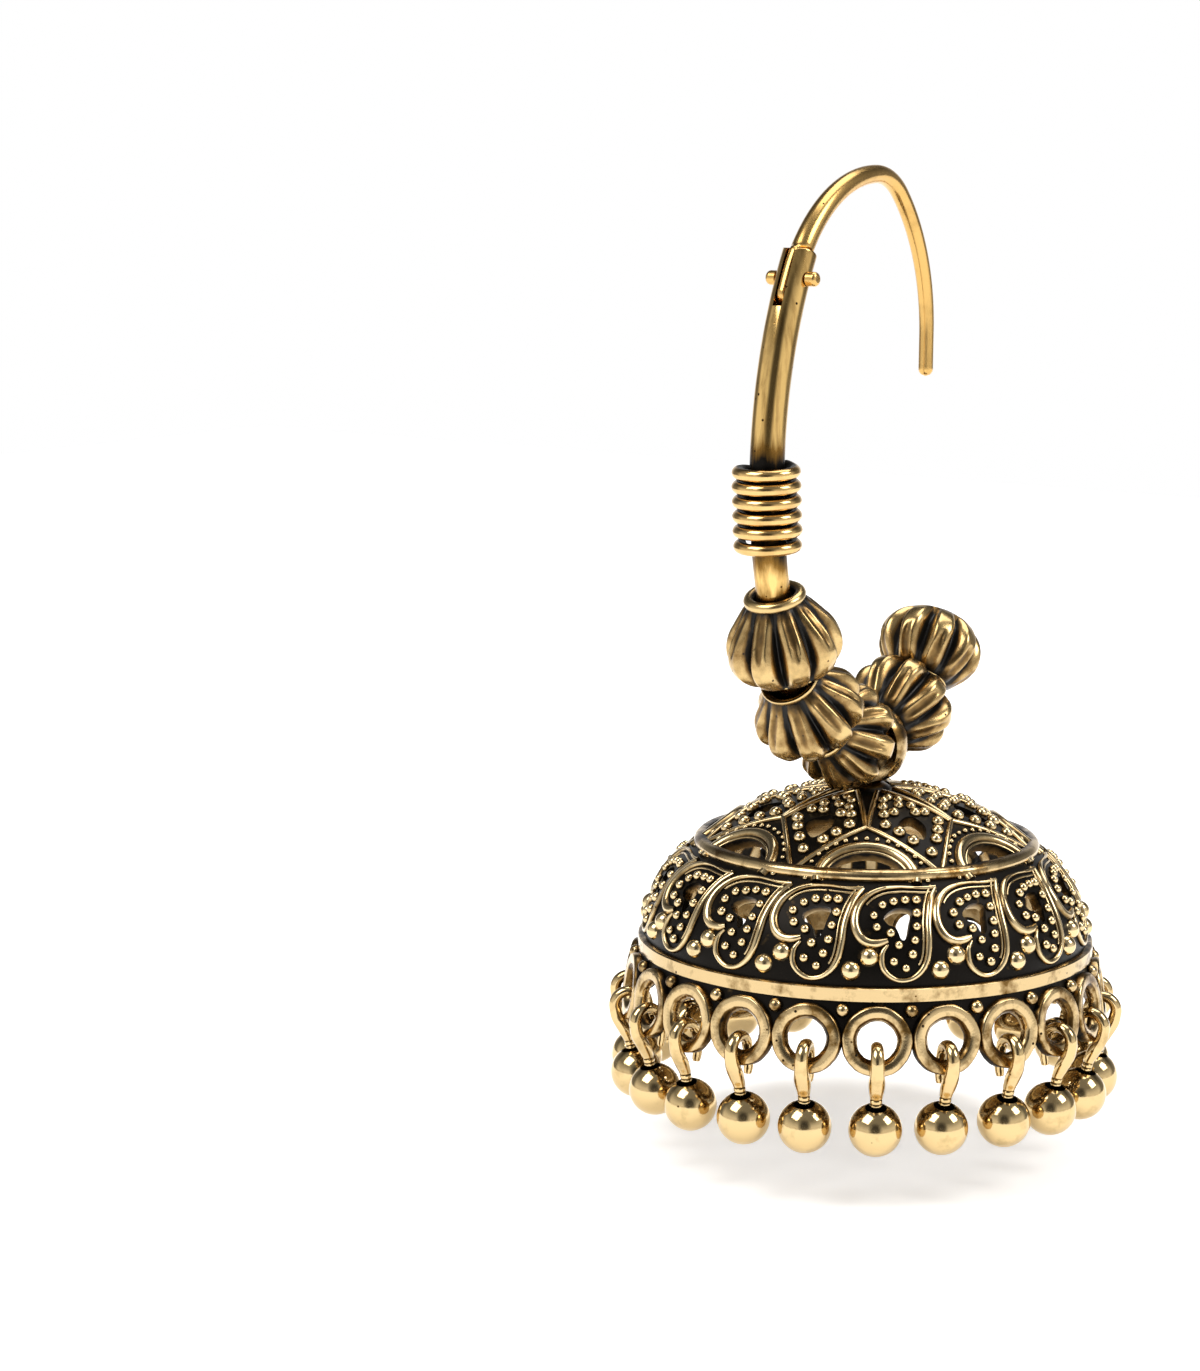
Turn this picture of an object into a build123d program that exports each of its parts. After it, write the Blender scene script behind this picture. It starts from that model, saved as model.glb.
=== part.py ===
from build123d import *
import math
import os

# A jhumka earring of antiqued brass: a hooked ear wire, hinged on a slotted hoop rod that carries a
# wire coil and five melon beads, and a pierced bell dome that hangs from the rod by its bail, with a
# ball drop in each ring of its skirt.
#
# Millimetres, +Z up. The origin is the underside of the ear wire's crown, where it rests in the ear.
# The hoop lies in the XZ plane, with the hinge on its -X side.

os.makedirs("parts", exist_ok=True)

# ---------------------------------------------------------------- driving dimensions
# ear wire
WIRE_HINGE_R = 0.64
WIRE_R = 0.55            # at the crown
WIRE_TIP_R = 0.45
CROWN_R = 10.07          # arch from the hinge to the crown
BEND_R = 4.0             # tight bend in front of the crown
BEND_TURN = 45.0         # degrees that it turns, before a long bend takes over
LEG_X = 6.42             # the straight leg that goes through the ear
LEG_LENGTH = 2.2
HINGE_LEAN = 24.7        # degrees from upright of the wire and the rod at the hinge

# hoop rod and hinge
ROD_R = 1.02
SIDE_R = 27.3            # long side of the hoop
SIDE_END_LEAN = -24.0    # where the long side meets the round bottom
BOTTOM_R = 9.7           # round bottom of the hoop
EAR_ABOVE_PIN = 1.75     # slotted end, above and below the pin
SLOT_BELOW_PIN = 2.0
SLOT_WIDTH = 0.62
TONGUE_THICK = 0.52
TONGUE_LENGTH = 2.0      # from the pin to the round wire, so that it clears the ears as it swings
TONGUE_FOOT = 1.1        # from the pin to the middle of its rounded foot
TONGUE_FOOT_R = 0.72
PIN_R = 0.30
PIN_FIT = 0.03           # radial play in the rod's ears
TONGUE_FIT = 0.05        # radial play in the tongue
PIN_HEAD_R = 0.43
PIN_HEAD_LENGTH = 0.66
END_CAP_R = 1.75         # riveted cap that keeps the beads on
END_CAP_THICK = 0.55

# wire coil round the rod
COIL_WIRE_R = 0.385
COIL_MEAN_R = 1.70
COIL_PITCH = 0.87
COIL_TURNS = 5.75
COIL_HEIGHT_AT = -18.8   # height of its middle

# melon beads
BEADS_HINGE_SIDE = ((4.25, 3.35), (4.75, 3.42), (5.35, 3.48))  # length and radius, from the bail
BEADS_FAR_SIDE = ((4.75, 3.35), (4.60, 3.30))
HINGE_SIDE_CLEAR = 1.43  # from the bail's middle to the first bead
FAR_SIDE_CLEAR = 1.15
BEAD_GAP = 0.35
BEAD_BORE_R = 1.30
BEAD_LOBES = 9
BEAD_HOLLOW = 0.6        # depth of the round hollow in the bulb's end, which frees the next collar
BEAD_HOLLOW_R = 1.98
COLLAR_R = 1.45          # centre line of the rolled collar
COLLAR_WIRE_R = 0.29

# dome: all heights are above the middle of the lower band
DOME_X = 0.35            # its axis, under the bail
BAND_Z = -46.55          # middle of the lower band
VIEW_TURN = 211.1        # angle of the arch that faces the wearer's front
SHELL = 0.75
BODY_CX = 6.35           # the drum is an arc round this radius
BODY_R = 7.35
CAP_R = 16.9             # the crown is a shallow spherical cap
CAP_CZ = -7.2
JOIN_Z = 6.3             # where drum and crown meet, under the upper band
RELIEF = 0.27            # height of the raised lines
RELIEF_ROOT = 0.15       # how deep the raised lines run into the shell
SEAM_TURN = 10.0         # keeps the seam of the turned shell off the pearls

LOWER_BAND_R = 14.05
LOWER_BAND_HALF = 0.45
UPPER_BAND_R = 10.65
UPPER_BAND_HALF = 0.31

ARCH_COUNT = 7           # arched windows and kite panels of the crown
MOTIF_COUNT = 16         # leaf motifs of the drum
RING_COUNT = 22          # rings of the skirt, each with a drop

# skirt
RING_CENTRE_R = 14.45
RING_Z = -2.62
RING_OUTER_R = 2.10
RING_HOLE_R = 1.22
RING_THICK = 0.55
SKIRT_FLARE = 8.0        # degrees outward of the rings
SKIRT_TOP_R = 13.75
RING_TURN = 3.1          # of the first ring from VIEW_TURN
SKIRT_BEAD_R = 0.42
SKIRT_BEAD_Z = -0.92

# bail
BAIL_R = 2.6
BAIL_THROAT_R = 1.58
BAIL_HANG = 0.08         # play between the bail and the rod that it hangs on
BAIL_HALF = 0.62
EYE_R = 0.7              # hole at the top of the shell, filled by the bail's foot
FOOT_R = 1.5

# drops: a hook of wire, in the XZ plane of its ring, whose lengths are from the ball's middle
DROP_WIRE_R = 0.33
DROP_BALL_R = 1.60
DROP_BALL_Z = -8.02      # height of the ball below the lower band
DROP_BALL_IN = 0.42      # how far inside the foot of its ring the ball hangs
DROP_TILT = 13.0         # degrees that the hook leans outward
HOOK_NECK = 2.3          # top of the straight stem
HOOK_FRONT = 0.42        # bulge of the front leg
HOOK_FRONT_FOOT = 3.1
HOOK_TOP = 5.12
HOOK_BACK = -1.32        # back leg
HOOK_BACK_FOOT = 3.2
HOOK_TAIL = (-1.02, 2.45)
HOOK_BEND_R = 0.8


# ---------------------------------------------------------------- the hoop's centre line
def lean_vector(lean):
    """Unit vector of a line that leans from upright towards +X by so many degrees."""
    return math.sin(math.radians(lean)), math.cos(math.radians(lean))


CROWN = (0.0, WIRE_R)
ARCH_CENTRE = (0.0, WIRE_R - CROWN_R)
# the arch leaves the crown level and reaches the hinge at the hinge's lean
PIN = (ARCH_CENTRE[0] - CROWN_R * lean_vector(HINGE_LEAN)[1],
       ARCH_CENTRE[1] + CROWN_R * lean_vector(HINGE_LEAN)[0])
SIDE_CENTRE = (PIN[0] + SIDE_R * lean_vector(HINGE_LEAN)[1],
               PIN[1] - SIDE_R * lean_vector(HINGE_LEAN)[0])


def side_point(lean):
    """Point of the hoop's long side where it leans so many degrees from upright."""
    sx, cz = lean_vector(lean)
    return SIDE_CENTRE[0] - SIDE_R * cz, SIDE_CENTRE[1] + SIDE_R * sx


SIDE_END = side_point(SIDE_END_LEAN)
BOTTOM_CENTRE = (SIDE_END[0] + BOTTOM_R * lean_vector(SIDE_END_LEAN)[1],
                 SIDE_END[1] - BOTTOM_R * lean_vector(SIDE_END_LEAN)[0])
BAIL_TURN = math.degrees(math.asin((DOME_X - BOTTOM_CENTRE[0]) / BOTTOM_R))
ROD_AT_BAIL_Z = BOTTOM_CENTRE[1] - BOTTOM_R * math.cos(math.radians(BAIL_TURN))
BAIL_Z = ROD_AT_BAIL_Z + ROD_R + BAIL_HANG - BAIL_THROAT_R - BAND_Z


def bottom_point(turn):
    """Point of the round bottom, so many degrees from its lowest point towards +X."""
    sx, cz = lean_vector(turn)
    return BOTTOM_CENTRE[0] + BOTTOM_R * sx, BOTTOM_CENTRE[1] - BOTTOM_R * cz


def hoop_at(run):
    """Centre-line point and travel direction (towards the far end) at a run from the bail."""
    turn = BAIL_TURN + math.degrees(run / BOTTOM_R)
    if turn >= -(90 + SIDE_END_LEAN):
        x, z = bottom_point(turn)
        return x, z, lean_vector(90 - turn)
    past = math.radians(-(90 + SIDE_END_LEAN) - turn) * BOTTOM_R
    lean = SIDE_END_LEAN + math.degrees(past / SIDE_R)
    x, z = side_point(lean)
    sx, cz = lean_vector(lean)
    return x, z, (-sx, -cz)


# ---------------------------------------------------------------- ear wire
def ear_wire():
    """Hooked wire with a flat tongue at the hinge and a straight leg with a rounded end."""
    tongue_turn = math.degrees(TONGUE_LENGTH / CROWN_R)
    foot = HINGE_LEAN + tongue_turn
    start = (ARCH_CENTRE[0] - CROWN_R * lean_vector(foot)[1],
             ARCH_CENTRE[1] + CROWN_R * lean_vector(foot)[0])
    mid_lean = (foot + 90) / 2
    mid = (ARCH_CENTRE[0] - CROWN_R * lean_vector(mid_lean)[1],
           ARCH_CENTRE[1] + CROWN_R * lean_vector(mid_lean)[0])
    bend_mid = arc_point((0, WIRE_R - BEND_R), BEND_R, BEND_TURN / 2)
    bend_end = arc_point((0, WIRE_R - BEND_R), BEND_R, BEND_TURN)
    side, up = lean_vector(BEND_TURN)
    long_r = (LEG_X - bend_end[0]) / (1 - side)
    long_centre = (bend_end[0] - long_r * side, bend_end[1] - long_r * up)
    long_mid = arc_point(long_centre, long_r, (BEND_TURN + 90) / 2)
    leg_top = arc_point(long_centre, long_r, 90)
    tip = (LEG_X, leg_top[1] - LEG_LENGTH)
    back_arch = ThreePointArc(flat(start), flat(mid), flat(CROWN))
    bend = ThreePointArc(flat(CROWN), flat(bend_mid), flat(bend_end))
    long_bend = ThreePointArc(flat(bend_end), flat(long_mid), flat(leg_top))
    direction = lean_vector(foot)
    hinge_face = Plane(flat(start), x_dir=(0, 1, 0), z_dir=(direction[0], 0, direction[1])) * Circle(WIRE_HINGE_R)
    crown_face = Plane(flat(CROWN), x_dir=(0, 1, 0), z_dir=(1, 0, 0)) * Circle(WIRE_R)
    bend_r = (WIRE_R + WIRE_TIP_R) / 2
    bend_face = Plane(flat(bend_end), x_dir=(0, 1, 0), z_dir=(up, 0, -side)) * Circle(bend_r)
    leg_face = Plane(flat(leg_top), x_dir=(0, 1, 0), z_dir=(0, 0, -1)) * Circle(WIRE_TIP_R)
    wire = sweep([hinge_face, crown_face], back_arch, multisection=True)
    wire += sweep([crown_face, bend_face], bend, multisection=True)
    wire += sweep([bend_face, leg_face], long_bend, multisection=True)
    wire += sweep(leg_face, Line(flat(leg_top), flat(tip)))
    return wire + Location(flat(tip)) * Sphere(WIRE_TIP_R) + tongue(start)


def arc_point(centre, radius, turn):
    """Point of an arc that turns so many degrees from its top towards +X."""
    sx, cz = lean_vector(turn)
    return centre[0] + radius * sx, centre[1] + radius * cz


def tongue(start):
    """Flat end of the wire that turns between the rod's ears, with a rounded foot and the pin's hole."""
    run = math.dist(start, PIN)
    lean = math.degrees(math.atan2(start[0] - PIN[0], start[1] - PIN[1]))
    frame = Plane(flat(PIN), x_dir=(lean_vector(lean)[0], 0, lean_vector(lean)[1]), z_dir=(0, -1, 0))
    plate = Location((run / 2 + 0.1, 0)) * Rectangle(run + 0.2, 2 * WIRE_HINGE_R)
    plate += Location((-TONGUE_FOOT / 2, 0)) * Rectangle(TONGUE_FOOT + 0.4, 2 * TONGUE_FOOT_R)
    plate += Location((-TONGUE_FOOT, 0)) * Circle(TONGUE_FOOT_R)
    plate = extrude(frame * plate, TONGUE_THICK / 2, both=True)
    hole = extrude(frame * Circle(PIN_R + TONGUE_FIT), TONGUE_THICK, both=True)
    return plate - hole


def flat(point):
    """A point of the hoop's plane as a point in space."""
    return point[0], 0, point[1]


# ---------------------------------------------------------------- hoop rod, hinge pin and coil
def hoop_rod():
    """Rod from the slotted hinge end round to the riveted cap behind the last bead."""
    last_run, last_length, _ = bead_runs()[-1]
    cap_at = last_length / 2 - BEAD_HOLLOW + 0.1
    far_run = last_run + cap_at + END_CAP_THICK / 2
    top_lean = HINGE_LEAN + math.degrees(EAR_ABOVE_PIN / SIDE_R)
    far_turn = BAIL_TURN + math.degrees(far_run / BOTTOM_R)
    split_turn = -(90 + SIDE_END_LEAN)
    side = ThreePointArc(flat(side_point(top_lean)), flat(side_point((top_lean + SIDE_END_LEAN) / 2)),
                         flat(SIDE_END))
    bottom = ThreePointArc(flat(SIDE_END), flat(bottom_point((split_turn + far_turn) / 2)),
                           flat(bottom_point(far_turn)))
    top_dir = lean_vector(top_lean)
    top_face = Plane(flat(side_point(top_lean)), z_dir=(-top_dir[0], 0, -top_dir[1])) * Circle(ROD_R)
    low_dir = lean_vector(SIDE_END_LEAN)
    low_face = Plane(flat(SIDE_END), z_dir=(-low_dir[0], 0, -low_dir[1])) * Circle(ROD_R)
    rod = sweep(top_face, side)
    rod = fillet(rod.edges().sort_by(Axis.Z)[-1], 0.55)
    rod += sweep(low_face, bottom)
    cap = Pos(0, 0, cap_at + END_CAP_THICK / 2) * Cylinder(END_CAP_R, END_CAP_THICK)
    cap = on_rod(fillet(cap.edges().filter_by(GeomType.CIRCLE), 0.2), last_run, last_length)
    return rod + cap - hinge_slot() - pin_hole()


def hinge_frame():
    """Plane at the pin: x across the hoop's plane, y up along the rod, z away from the hoop."""
    sx, cz = lean_vector(HINGE_LEAN)
    return Plane(flat(PIN), x_dir=(0, 1, 0), z_dir=(-cz, 0, sx))


def hinge_slot():
    """Round-bottomed slot that parts the rod's end into two ears."""
    half = SLOT_WIDTH / 2
    run = SLOT_BELOW_PIN - half
    shape = Location((0, (4 - run) / 2)) * Rectangle(SLOT_WIDTH, 4 + run)
    shape += Location((0, -run)) * Circle(half)
    return extrude(hinge_frame() * shape, 3, both=True)


def pin_hole():
    """Bore for the hinge pin."""
    return Location(flat(PIN)) * Rot(X=90) * Cylinder(PIN_R + PIN_FIT, 4 * ROD_R)


def hinge_pin():
    """Riveted pin: a shank with a rounded head outside each ear."""
    reach = ROD_R + 0.04
    tip = reach + PIN_HEAD_LENGTH
    shank = Rot(X=90) * Cylinder(PIN_R, 2 * (reach + 0.1))
    head = Pos(0, 0, (reach + tip) / 2) * Cylinder(PIN_HEAD_R, PIN_HEAD_LENGTH)
    head = fillet(head.edges().sort_by(Axis.Z)[-1], 0.24)
    pin = shank + Rot(X=90) * head + Rot(X=-90) * head
    return Location(flat(PIN)) * pin


def wire_coil():
    """Close coil of round wire, loose on the long side of the hoop."""
    lean = math.degrees(math.asin((COIL_HEIGHT_AT - SIDE_CENTRE[1]) / SIDE_R))
    x, z = side_point(lean)
    sx, cz = lean_vector(lean)
    height = COIL_PITCH * COIL_TURNS
    path = Helix(COIL_PITCH, height, COIL_MEAN_R)
    section = Plane(path @ 0, z_dir=path % 0) * Circle(COIL_WIRE_R)
    coil = sweep(section, path, is_frenet=True)
    for end in (path @ 0, path @ 1):
        coil += Pos(*end) * Sphere(COIL_WIRE_R)
    return Plane((x, 0, z), x_dir=(0, 1, 0), z_dir=(sx, 0, cz)) * Pos(0, 0, -height / 2) * coil


# ---------------------------------------------------------------- melon beads
# how far along the bulb, the radius of its lobes as a share of the largest, and the grooves' share of that
BEAD_SECTIONS = (
    ("along", "radius", "groove"),
    (0.000, 0.470, 0.97),
    (0.130, 0.620, 0.90),
    (0.370, 0.890, 0.82),
    (0.600, 1.000, 0.80),
    (0.820, 0.930, 0.82),
    (0.940, 0.790, 0.88),
    (1.000, 0.680, 0.94),
)
BULB_AT = 0.45           # where the lobes start, behind the collar


def lobed_section(radius, groove):
    """Ring of round lobes that meet in grooves at a share of the radius."""
    step = 2 * math.pi / BEAD_LOBES
    arcs = []
    for lobe in range(BEAD_LOBES):
        turn = lobe * step
        ends = [(radius * groove * math.cos(turn + side * step), radius * groove * math.sin(turn + side * step))
                for side in (0, 1)]
        top = (radius * math.cos(turn + step / 2), radius * math.sin(turn + step / 2))
        arcs.append(ThreePointArc(ends[0], top, ends[1]))
    return make_face(arcs)


def melon_bead(length, radius):
    """Bead along Z: a rolled collar at the bottom, then a bulb of rounded lobes, bored through."""
    sections = []
    for along, share, groove in BEAD_SECTIONS[1:]:
        sections.append(Pos(0, 0, BULB_AT + along * (length - BULB_AT)) * lobed_section(share * radius, groove))
    bulb = loft(sections)
    collar = Pos(0, 0, COLLAR_WIRE_R) * Torus(COLLAR_R, COLLAR_WIRE_R)
    sleeve = Pos(0, 0, (COLLAR_WIRE_R + BULB_AT + 0.1) / 2) * Cylinder(COLLAR_R, BULB_AT + 0.1 - COLLAR_WIRE_R)
    bead = bulb + collar + sleeve
    bore = Pos(0, 0, length / 2) * Cylinder(BEAD_BORE_R, length + 2)
    hollow = Pos(0, 0, length - BEAD_HOLLOW / 2 + 0.5) * Cylinder(BEAD_HOLLOW_R, BEAD_HOLLOW + 1)
    return Pos(0, 0, -length / 2) * (bead - bore - hollow)


def bead_runs():
    """Each bead's middle as a run from the bail, its length and its radius, from the hinge's side on."""
    hinge_side, far_side = [], []
    edge = HINGE_SIDE_CLEAR
    for length, radius in BEADS_HINGE_SIDE:
        hinge_side.append((-edge - length / 2, length, radius))
        edge += length + BEAD_GAP
    edge = FAR_SIDE_CLEAR
    for length, radius in BEADS_FAR_SIDE:
        far_side.append((edge + length / 2, length, radius))
        edge += length + BEAD_GAP
    return hinge_side[::-1] + far_side


def on_rod(shape, run, length):
    """A shape along Z, such as a bead, laid on the rod at a run and centred on the rod's bend."""
    x, z, (dx, dz) = hoop_at(run)
    sag = length ** 2 / 16 / BOTTOM_R
    nx, nz = -dz, dx
    return Plane((x + sag * nx, 0, z + sag * nz), x_dir=(0, 1, 0), z_dir=(dx, 0, dz)) * shape


# ---------------------------------------------------------------- dome
def body_point(angle, lift):
    """Profile point of the drum, at a height angle and so far proud of its surface."""
    a = math.radians(angle)
    return BODY_CX + (BODY_R + lift) * math.cos(a), (BODY_R + lift) * math.sin(a)


def cap_point(angle, lift):
    """Profile point of the crown, at an angle from the axis and so far proud of its surface."""
    a = math.radians(angle)
    return (CAP_R + lift) * math.sin(a), CAP_CZ + (CAP_R + lift) * math.cos(a)


JOIN_BODY = math.degrees(math.asin(JOIN_Z / BODY_R))
JOIN_CAP = math.degrees(math.acos((JOIN_Z - CAP_CZ) / CAP_R))
EYE_CAP = math.degrees(math.asin(EYE_R / CAP_R))


def upright(point):
    """A profile point (radius, height) in the XZ plane."""
    return point[0], 0, point[1]


def drum_curve(low_angle, high_angle, lift):
    """Drum profile between two height angles, as one cubic curve."""
    handle = 4 / 3 * math.tan(math.radians(high_angle - low_angle) / 4) * (BODY_R + lift)
    low, high = body_point(low_angle, lift), body_point(high_angle, lift)
    low_way, high_way = lean_vector(-low_angle), lean_vector(-high_angle)
    return Bezier(upright(low), upright((low[0] + handle * low_way[0], low[1] + handle * low_way[1])),
                  upright((high[0] - handle * high_way[0], high[1] - handle * high_way[1])), upright(high))


def profile_layer(low, high, foot_angle=0.0):
    """Solid layer between two lifts of the dome's surface, turned round its axis."""
    edges = []
    ends = []
    for lift in (low, high):
        foot = upright(body_point(foot_angle, lift))
        join = upright(body_point(JOIN_BODY, lift))
        brow = upright(cap_point(JOIN_CAP / 2, lift))
        eye = upright(cap_point(EYE_CAP, lift))
        edges += [drum_curve(foot_angle, JOIN_BODY, lift), ThreePointArc(join, brow, eye)]
        ends.append((foot, eye))
    edges.append(Line(ends[0][0], ends[1][0]))
    edges.append(Line(ends[0][1], ends[1][1]))
    return Rot(Z=SEAM_TURN) * revolve(make_face(edges), Axis.Z, 360)


def surface_plane(turn, angle, crown=False):
    """Plane on the dome: x round it, y up its profile, z straight out."""
    if crown:
        r, z = cap_point(angle, 0)
        nr, nz = math.sin(math.radians(angle)), math.cos(math.radians(angle))
    else:
        r, z = body_point(angle, 0)
        nr, nz = math.cos(math.radians(angle)), math.sin(math.radians(angle))
    t = math.radians(turn)
    return Plane((r * math.cos(t), r * math.sin(t), z), x_dir=(-math.sin(t), math.cos(t), 0),
                 z_dir=(nr * math.cos(t), nr * math.sin(t), nz))


def around(shape, count, turn=0.0):
    """Copies of a shape round the dome's axis."""
    return [Rot(Z=turn + i * 360 / count) * shape for i in range(count)]


def ridge(face, half, plane, layer):
    """Raised line along a face's outline, as a slice of a layer of the dome."""
    band = offset(face, half) - offset(face, -half)
    return extrude(plane * band, 2.5, both=True) & layer


# leaf motif of the drum, in mm on the surface: x round it, y up the profile from its middle
MOTIF_ANGLE = 28.5       # height angle of the motif's middle
LEAF_ARCS = (
    ("from_x", "from_y", "by_x", "by_y"),
    (1.95, 2.82, 1.32, 1.05),     # right side, down from the tip
    (1.19, -0.50, 0.93, -1.85),   # into the lower lobe
    (-0.17, -2.79, -1.30, -2.45), # round the lower lobe
    (-1.70, -1.65, -1.52, -1.05), # up to the cleft
    (-1.15, -0.62, -1.95, -0.72), # foot of the upper lobe
    (-2.69, -0.50, -3.10, 0.25),  # back of the upper lobe
    (-3.02, 1.10, -2.35, 2.15),   # over the upper lobe
    (-1.12, 2.85, 0.40, 3.02),    # along the top to the tip
)
LEAF_HOLE = ((-1.35, 0.90), (-0.60, 1.48), (0.40, 1.36), (0.18, 0.50), (-0.08, -0.35), (-0.42, -0.45),
             (-0.66, 0.22))
LEAF_SIDE_HOLE = ((1.48, -0.95), (1.70, -0.85), (1.74, -0.20), (1.50, -0.15))
LEAF_FOOT_HOLE = ((-2.60, -2.72), (-1.95, -2.68), (-2.20, -2.30))
PEARL_R = 0.52
PEARL_LIFT = 0.12
PEARLS = ((1.86, -2.30), (2.90, -1.52))
RIDGE_HALF = 0.13


def leaf_face():
    """Outline of the leaf motif: a heart on its side with a tip at its upper right."""
    rows = LEAF_ARCS[1:]
    arcs = []
    for row, following in zip(rows, rows[1:] + rows[:1]):
        arcs.append(ThreePointArc(row[0:2], row[2:4], following[0:2]))
    return make_face(arcs)


# kite panel of the crown, in mm on its tangent plane, y up towards the apex
KITE_ANGLE = 22.5        # of its middle, from the axis
KITE = ((0.0, -3.78), (2.95, -0.35), (2.55, 1.3), (0.42, 5.0), (-0.42, 5.0), (-2.55, 1.3), (-2.95, -0.35))
KITE_HOLE = ((0.0, -1.45), (0.72, -0.25), (0.62, 0.85), (0.0, 1.35), (-0.62, 0.85), (-0.72, -0.25))

# arched window of the crown
ARCH_HALF = 2.60
ARCH_RISE = 1.95
ARCH_RIM = 0.68
ARCH_FOOT_ANGLE = 36.2   # of the arch's foot, from the axis


def half_ellipse(width, rise):
    """Half an ellipse on its flat foot."""
    box = Location((0, rise / 2)) * Rectangle(2 * width, rise)
    return Ellipse(width, rise) & box


def crown_cuts():
    """Kite holes and arched windows."""
    cuts = []
    kite = extrude(surface_plane(180 / ARCH_COUNT, KITE_ANGLE, True) * make_face(Polyline(*KITE_HOLE, close=True)),
                   3, both=True)
    arch = extrude(surface_plane(0, ARCH_FOOT_ANGLE, True) * half_ellipse(ARCH_HALF, ARCH_RISE), 2, both=True)
    cuts += around(kite, ARCH_COUNT)
    cuts += around(arch, ARCH_COUNT)
    return cuts


def drum_cuts():
    """Pierced gaps in and between the leaf motifs."""
    cuts = []
    for outline in (LEAF_HOLE, LEAF_SIDE_HOLE, LEAF_FOOT_HOLE):
        hole = make_face(Polyline(*outline, close=True))
        hole = extrude(surface_plane(180 / MOTIF_COUNT, MOTIF_ANGLE) * hole, 2, both=True)
        cuts += around(hole, MOTIF_COUNT)
    return cuts


def crown_relief(layer, rim_layer):
    """Raised kite outlines and arch rims."""
    kite = ridge(make_face(Polyline(*KITE, close=True)), RIDGE_HALF,
                 surface_plane(180 / ARCH_COUNT, KITE_ANGLE, True), layer)
    rim = half_ellipse(ARCH_HALF + ARCH_RIM, ARCH_RISE + ARCH_RIM * 0.75) - half_ellipse(ARCH_HALF, ARCH_RISE)
    rim = extrude(surface_plane(0, ARCH_FOOT_ANGLE, True) * rim, 2, both=True) & rim_layer
    return around(kite, ARCH_COUNT) + around(rim, ARCH_COUNT)


def drum_relief(layer):
    """Raised leaf outlines."""
    leaf = ridge(leaf_face(), RIDGE_HALF, surface_plane(180 / MOTIF_COUNT, MOTIF_ANGLE), layer)
    return around(leaf, MOTIF_COUNT)


def pearls():
    """Pearls between the leaf motifs, sunk a little over half into the shell."""
    pieces = []
    for x, y in PEARLS:
        turn = 180 / MOTIF_COUNT + math.degrees(x / (BODY_CX + BODY_R))
        seat = surface_plane(turn, MOTIF_ANGLE + math.degrees(y / BODY_R))
        pieces += around(seat * Pos(0, 0, PEARL_LIFT) * Sphere(PEARL_R), MOTIF_COUNT)
    return pieces


def band(radius, half, depth, z):
    """Flat band round the dome with softened edges."""
    ring = Cylinder(radius, 2 * half) - Cylinder(radius - depth, 2 * half)
    ring = chamfer(ring.edges().filter_by(GeomType.CIRCLE).sort_by(SortBy.RADIUS)[-2:], 0.1)
    return Pos(0, 0, z) * ring


def ring_plane(turn):
    """Plane of a skirt ring: x round the dome, z outward, leaning with the skirt."""
    t = math.radians(turn)
    lean = math.radians(SKIRT_FLARE)
    return Plane((RING_CENTRE_R * math.cos(t), RING_CENTRE_R * math.sin(t), RING_Z),
                 x_dir=(-math.sin(t), math.cos(t), 0),
                 z_dir=(math.cos(lean) * math.cos(t), math.cos(lean) * math.sin(t), math.sin(lean)))


def skirt():
    """Flared strip under the lower band, the row of rings along its edge, and the beads between."""
    low_z = RING_Z + RING_OUTER_R * 0.45
    foot_r = RING_CENTRE_R - (low_z - RING_Z) * math.tan(math.radians(SKIRT_FLARE))
    wall = RING_THICK / 2
    strip = Polyline((SKIRT_TOP_R - wall, 0, -0.1), (SKIRT_TOP_R + wall, 0, -0.1), (foot_r + wall - 0.05, 0, low_z),
                     (foot_r - wall + 0.05, 0, low_z), close=True)
    strip = revolve(make_face(strip), Axis.Z, 360)
    ring = extrude(ring_plane(RING_TURN) * Circle(RING_OUTER_R), RING_THICK / 2, both=True)
    hole = extrude(ring_plane(RING_TURN) * Circle(RING_HOLE_R), 1.2, both=True)
    pearl_r = SKIRT_TOP_R + wall + 0.28
    pearl = Rot(Z=RING_TURN + 180 / RING_COUNT) * Pos(pearl_r, 0, SKIRT_BEAD_Z) * Sphere(SKIRT_BEAD_R)
    solid = strip.fuse(*around(ring, RING_COUNT), *around(pearl, RING_COUNT))
    return solid.cut(*around(hole, RING_COUNT))


def bail():
    """Wide dished ring on the crown, with a solder foot."""
    half = BAIL_HALF
    outer = ThreePointArc((-half, 0, BAIL_R - 0.22), (0, 0, BAIL_R), (half, 0, BAIL_R - 0.22))
    inner = ThreePointArc((half, 0, BAIL_THROAT_R + 0.42), (0, 0, BAIL_THROAT_R), (-half, 0, BAIL_THROAT_R + 0.42))
    section = make_face([outer, Line(outer @ 1, inner @ 0), inner, Line(inner @ 1, outer @ 0)])
    ring = Pos(0, 0, BAIL_Z) * Rot(Y=-BAIL_TURN) * revolve(section, Axis.X, 360)
    apex_z = CAP_CZ + CAP_R
    foot = Pos(0, 0, apex_z + 0.05) * Cone(FOOT_R, 0.95, 0.7)
    foot += Pos(0, 0, apex_z - 0.45) * Cylinder(FOOT_R, 0.7)
    foot -= Pos(0, 0, BAIL_Z) * Rot(Y=90) * Cylinder(BAIL_R - 0.3, 6)
    return ring + foot


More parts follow.
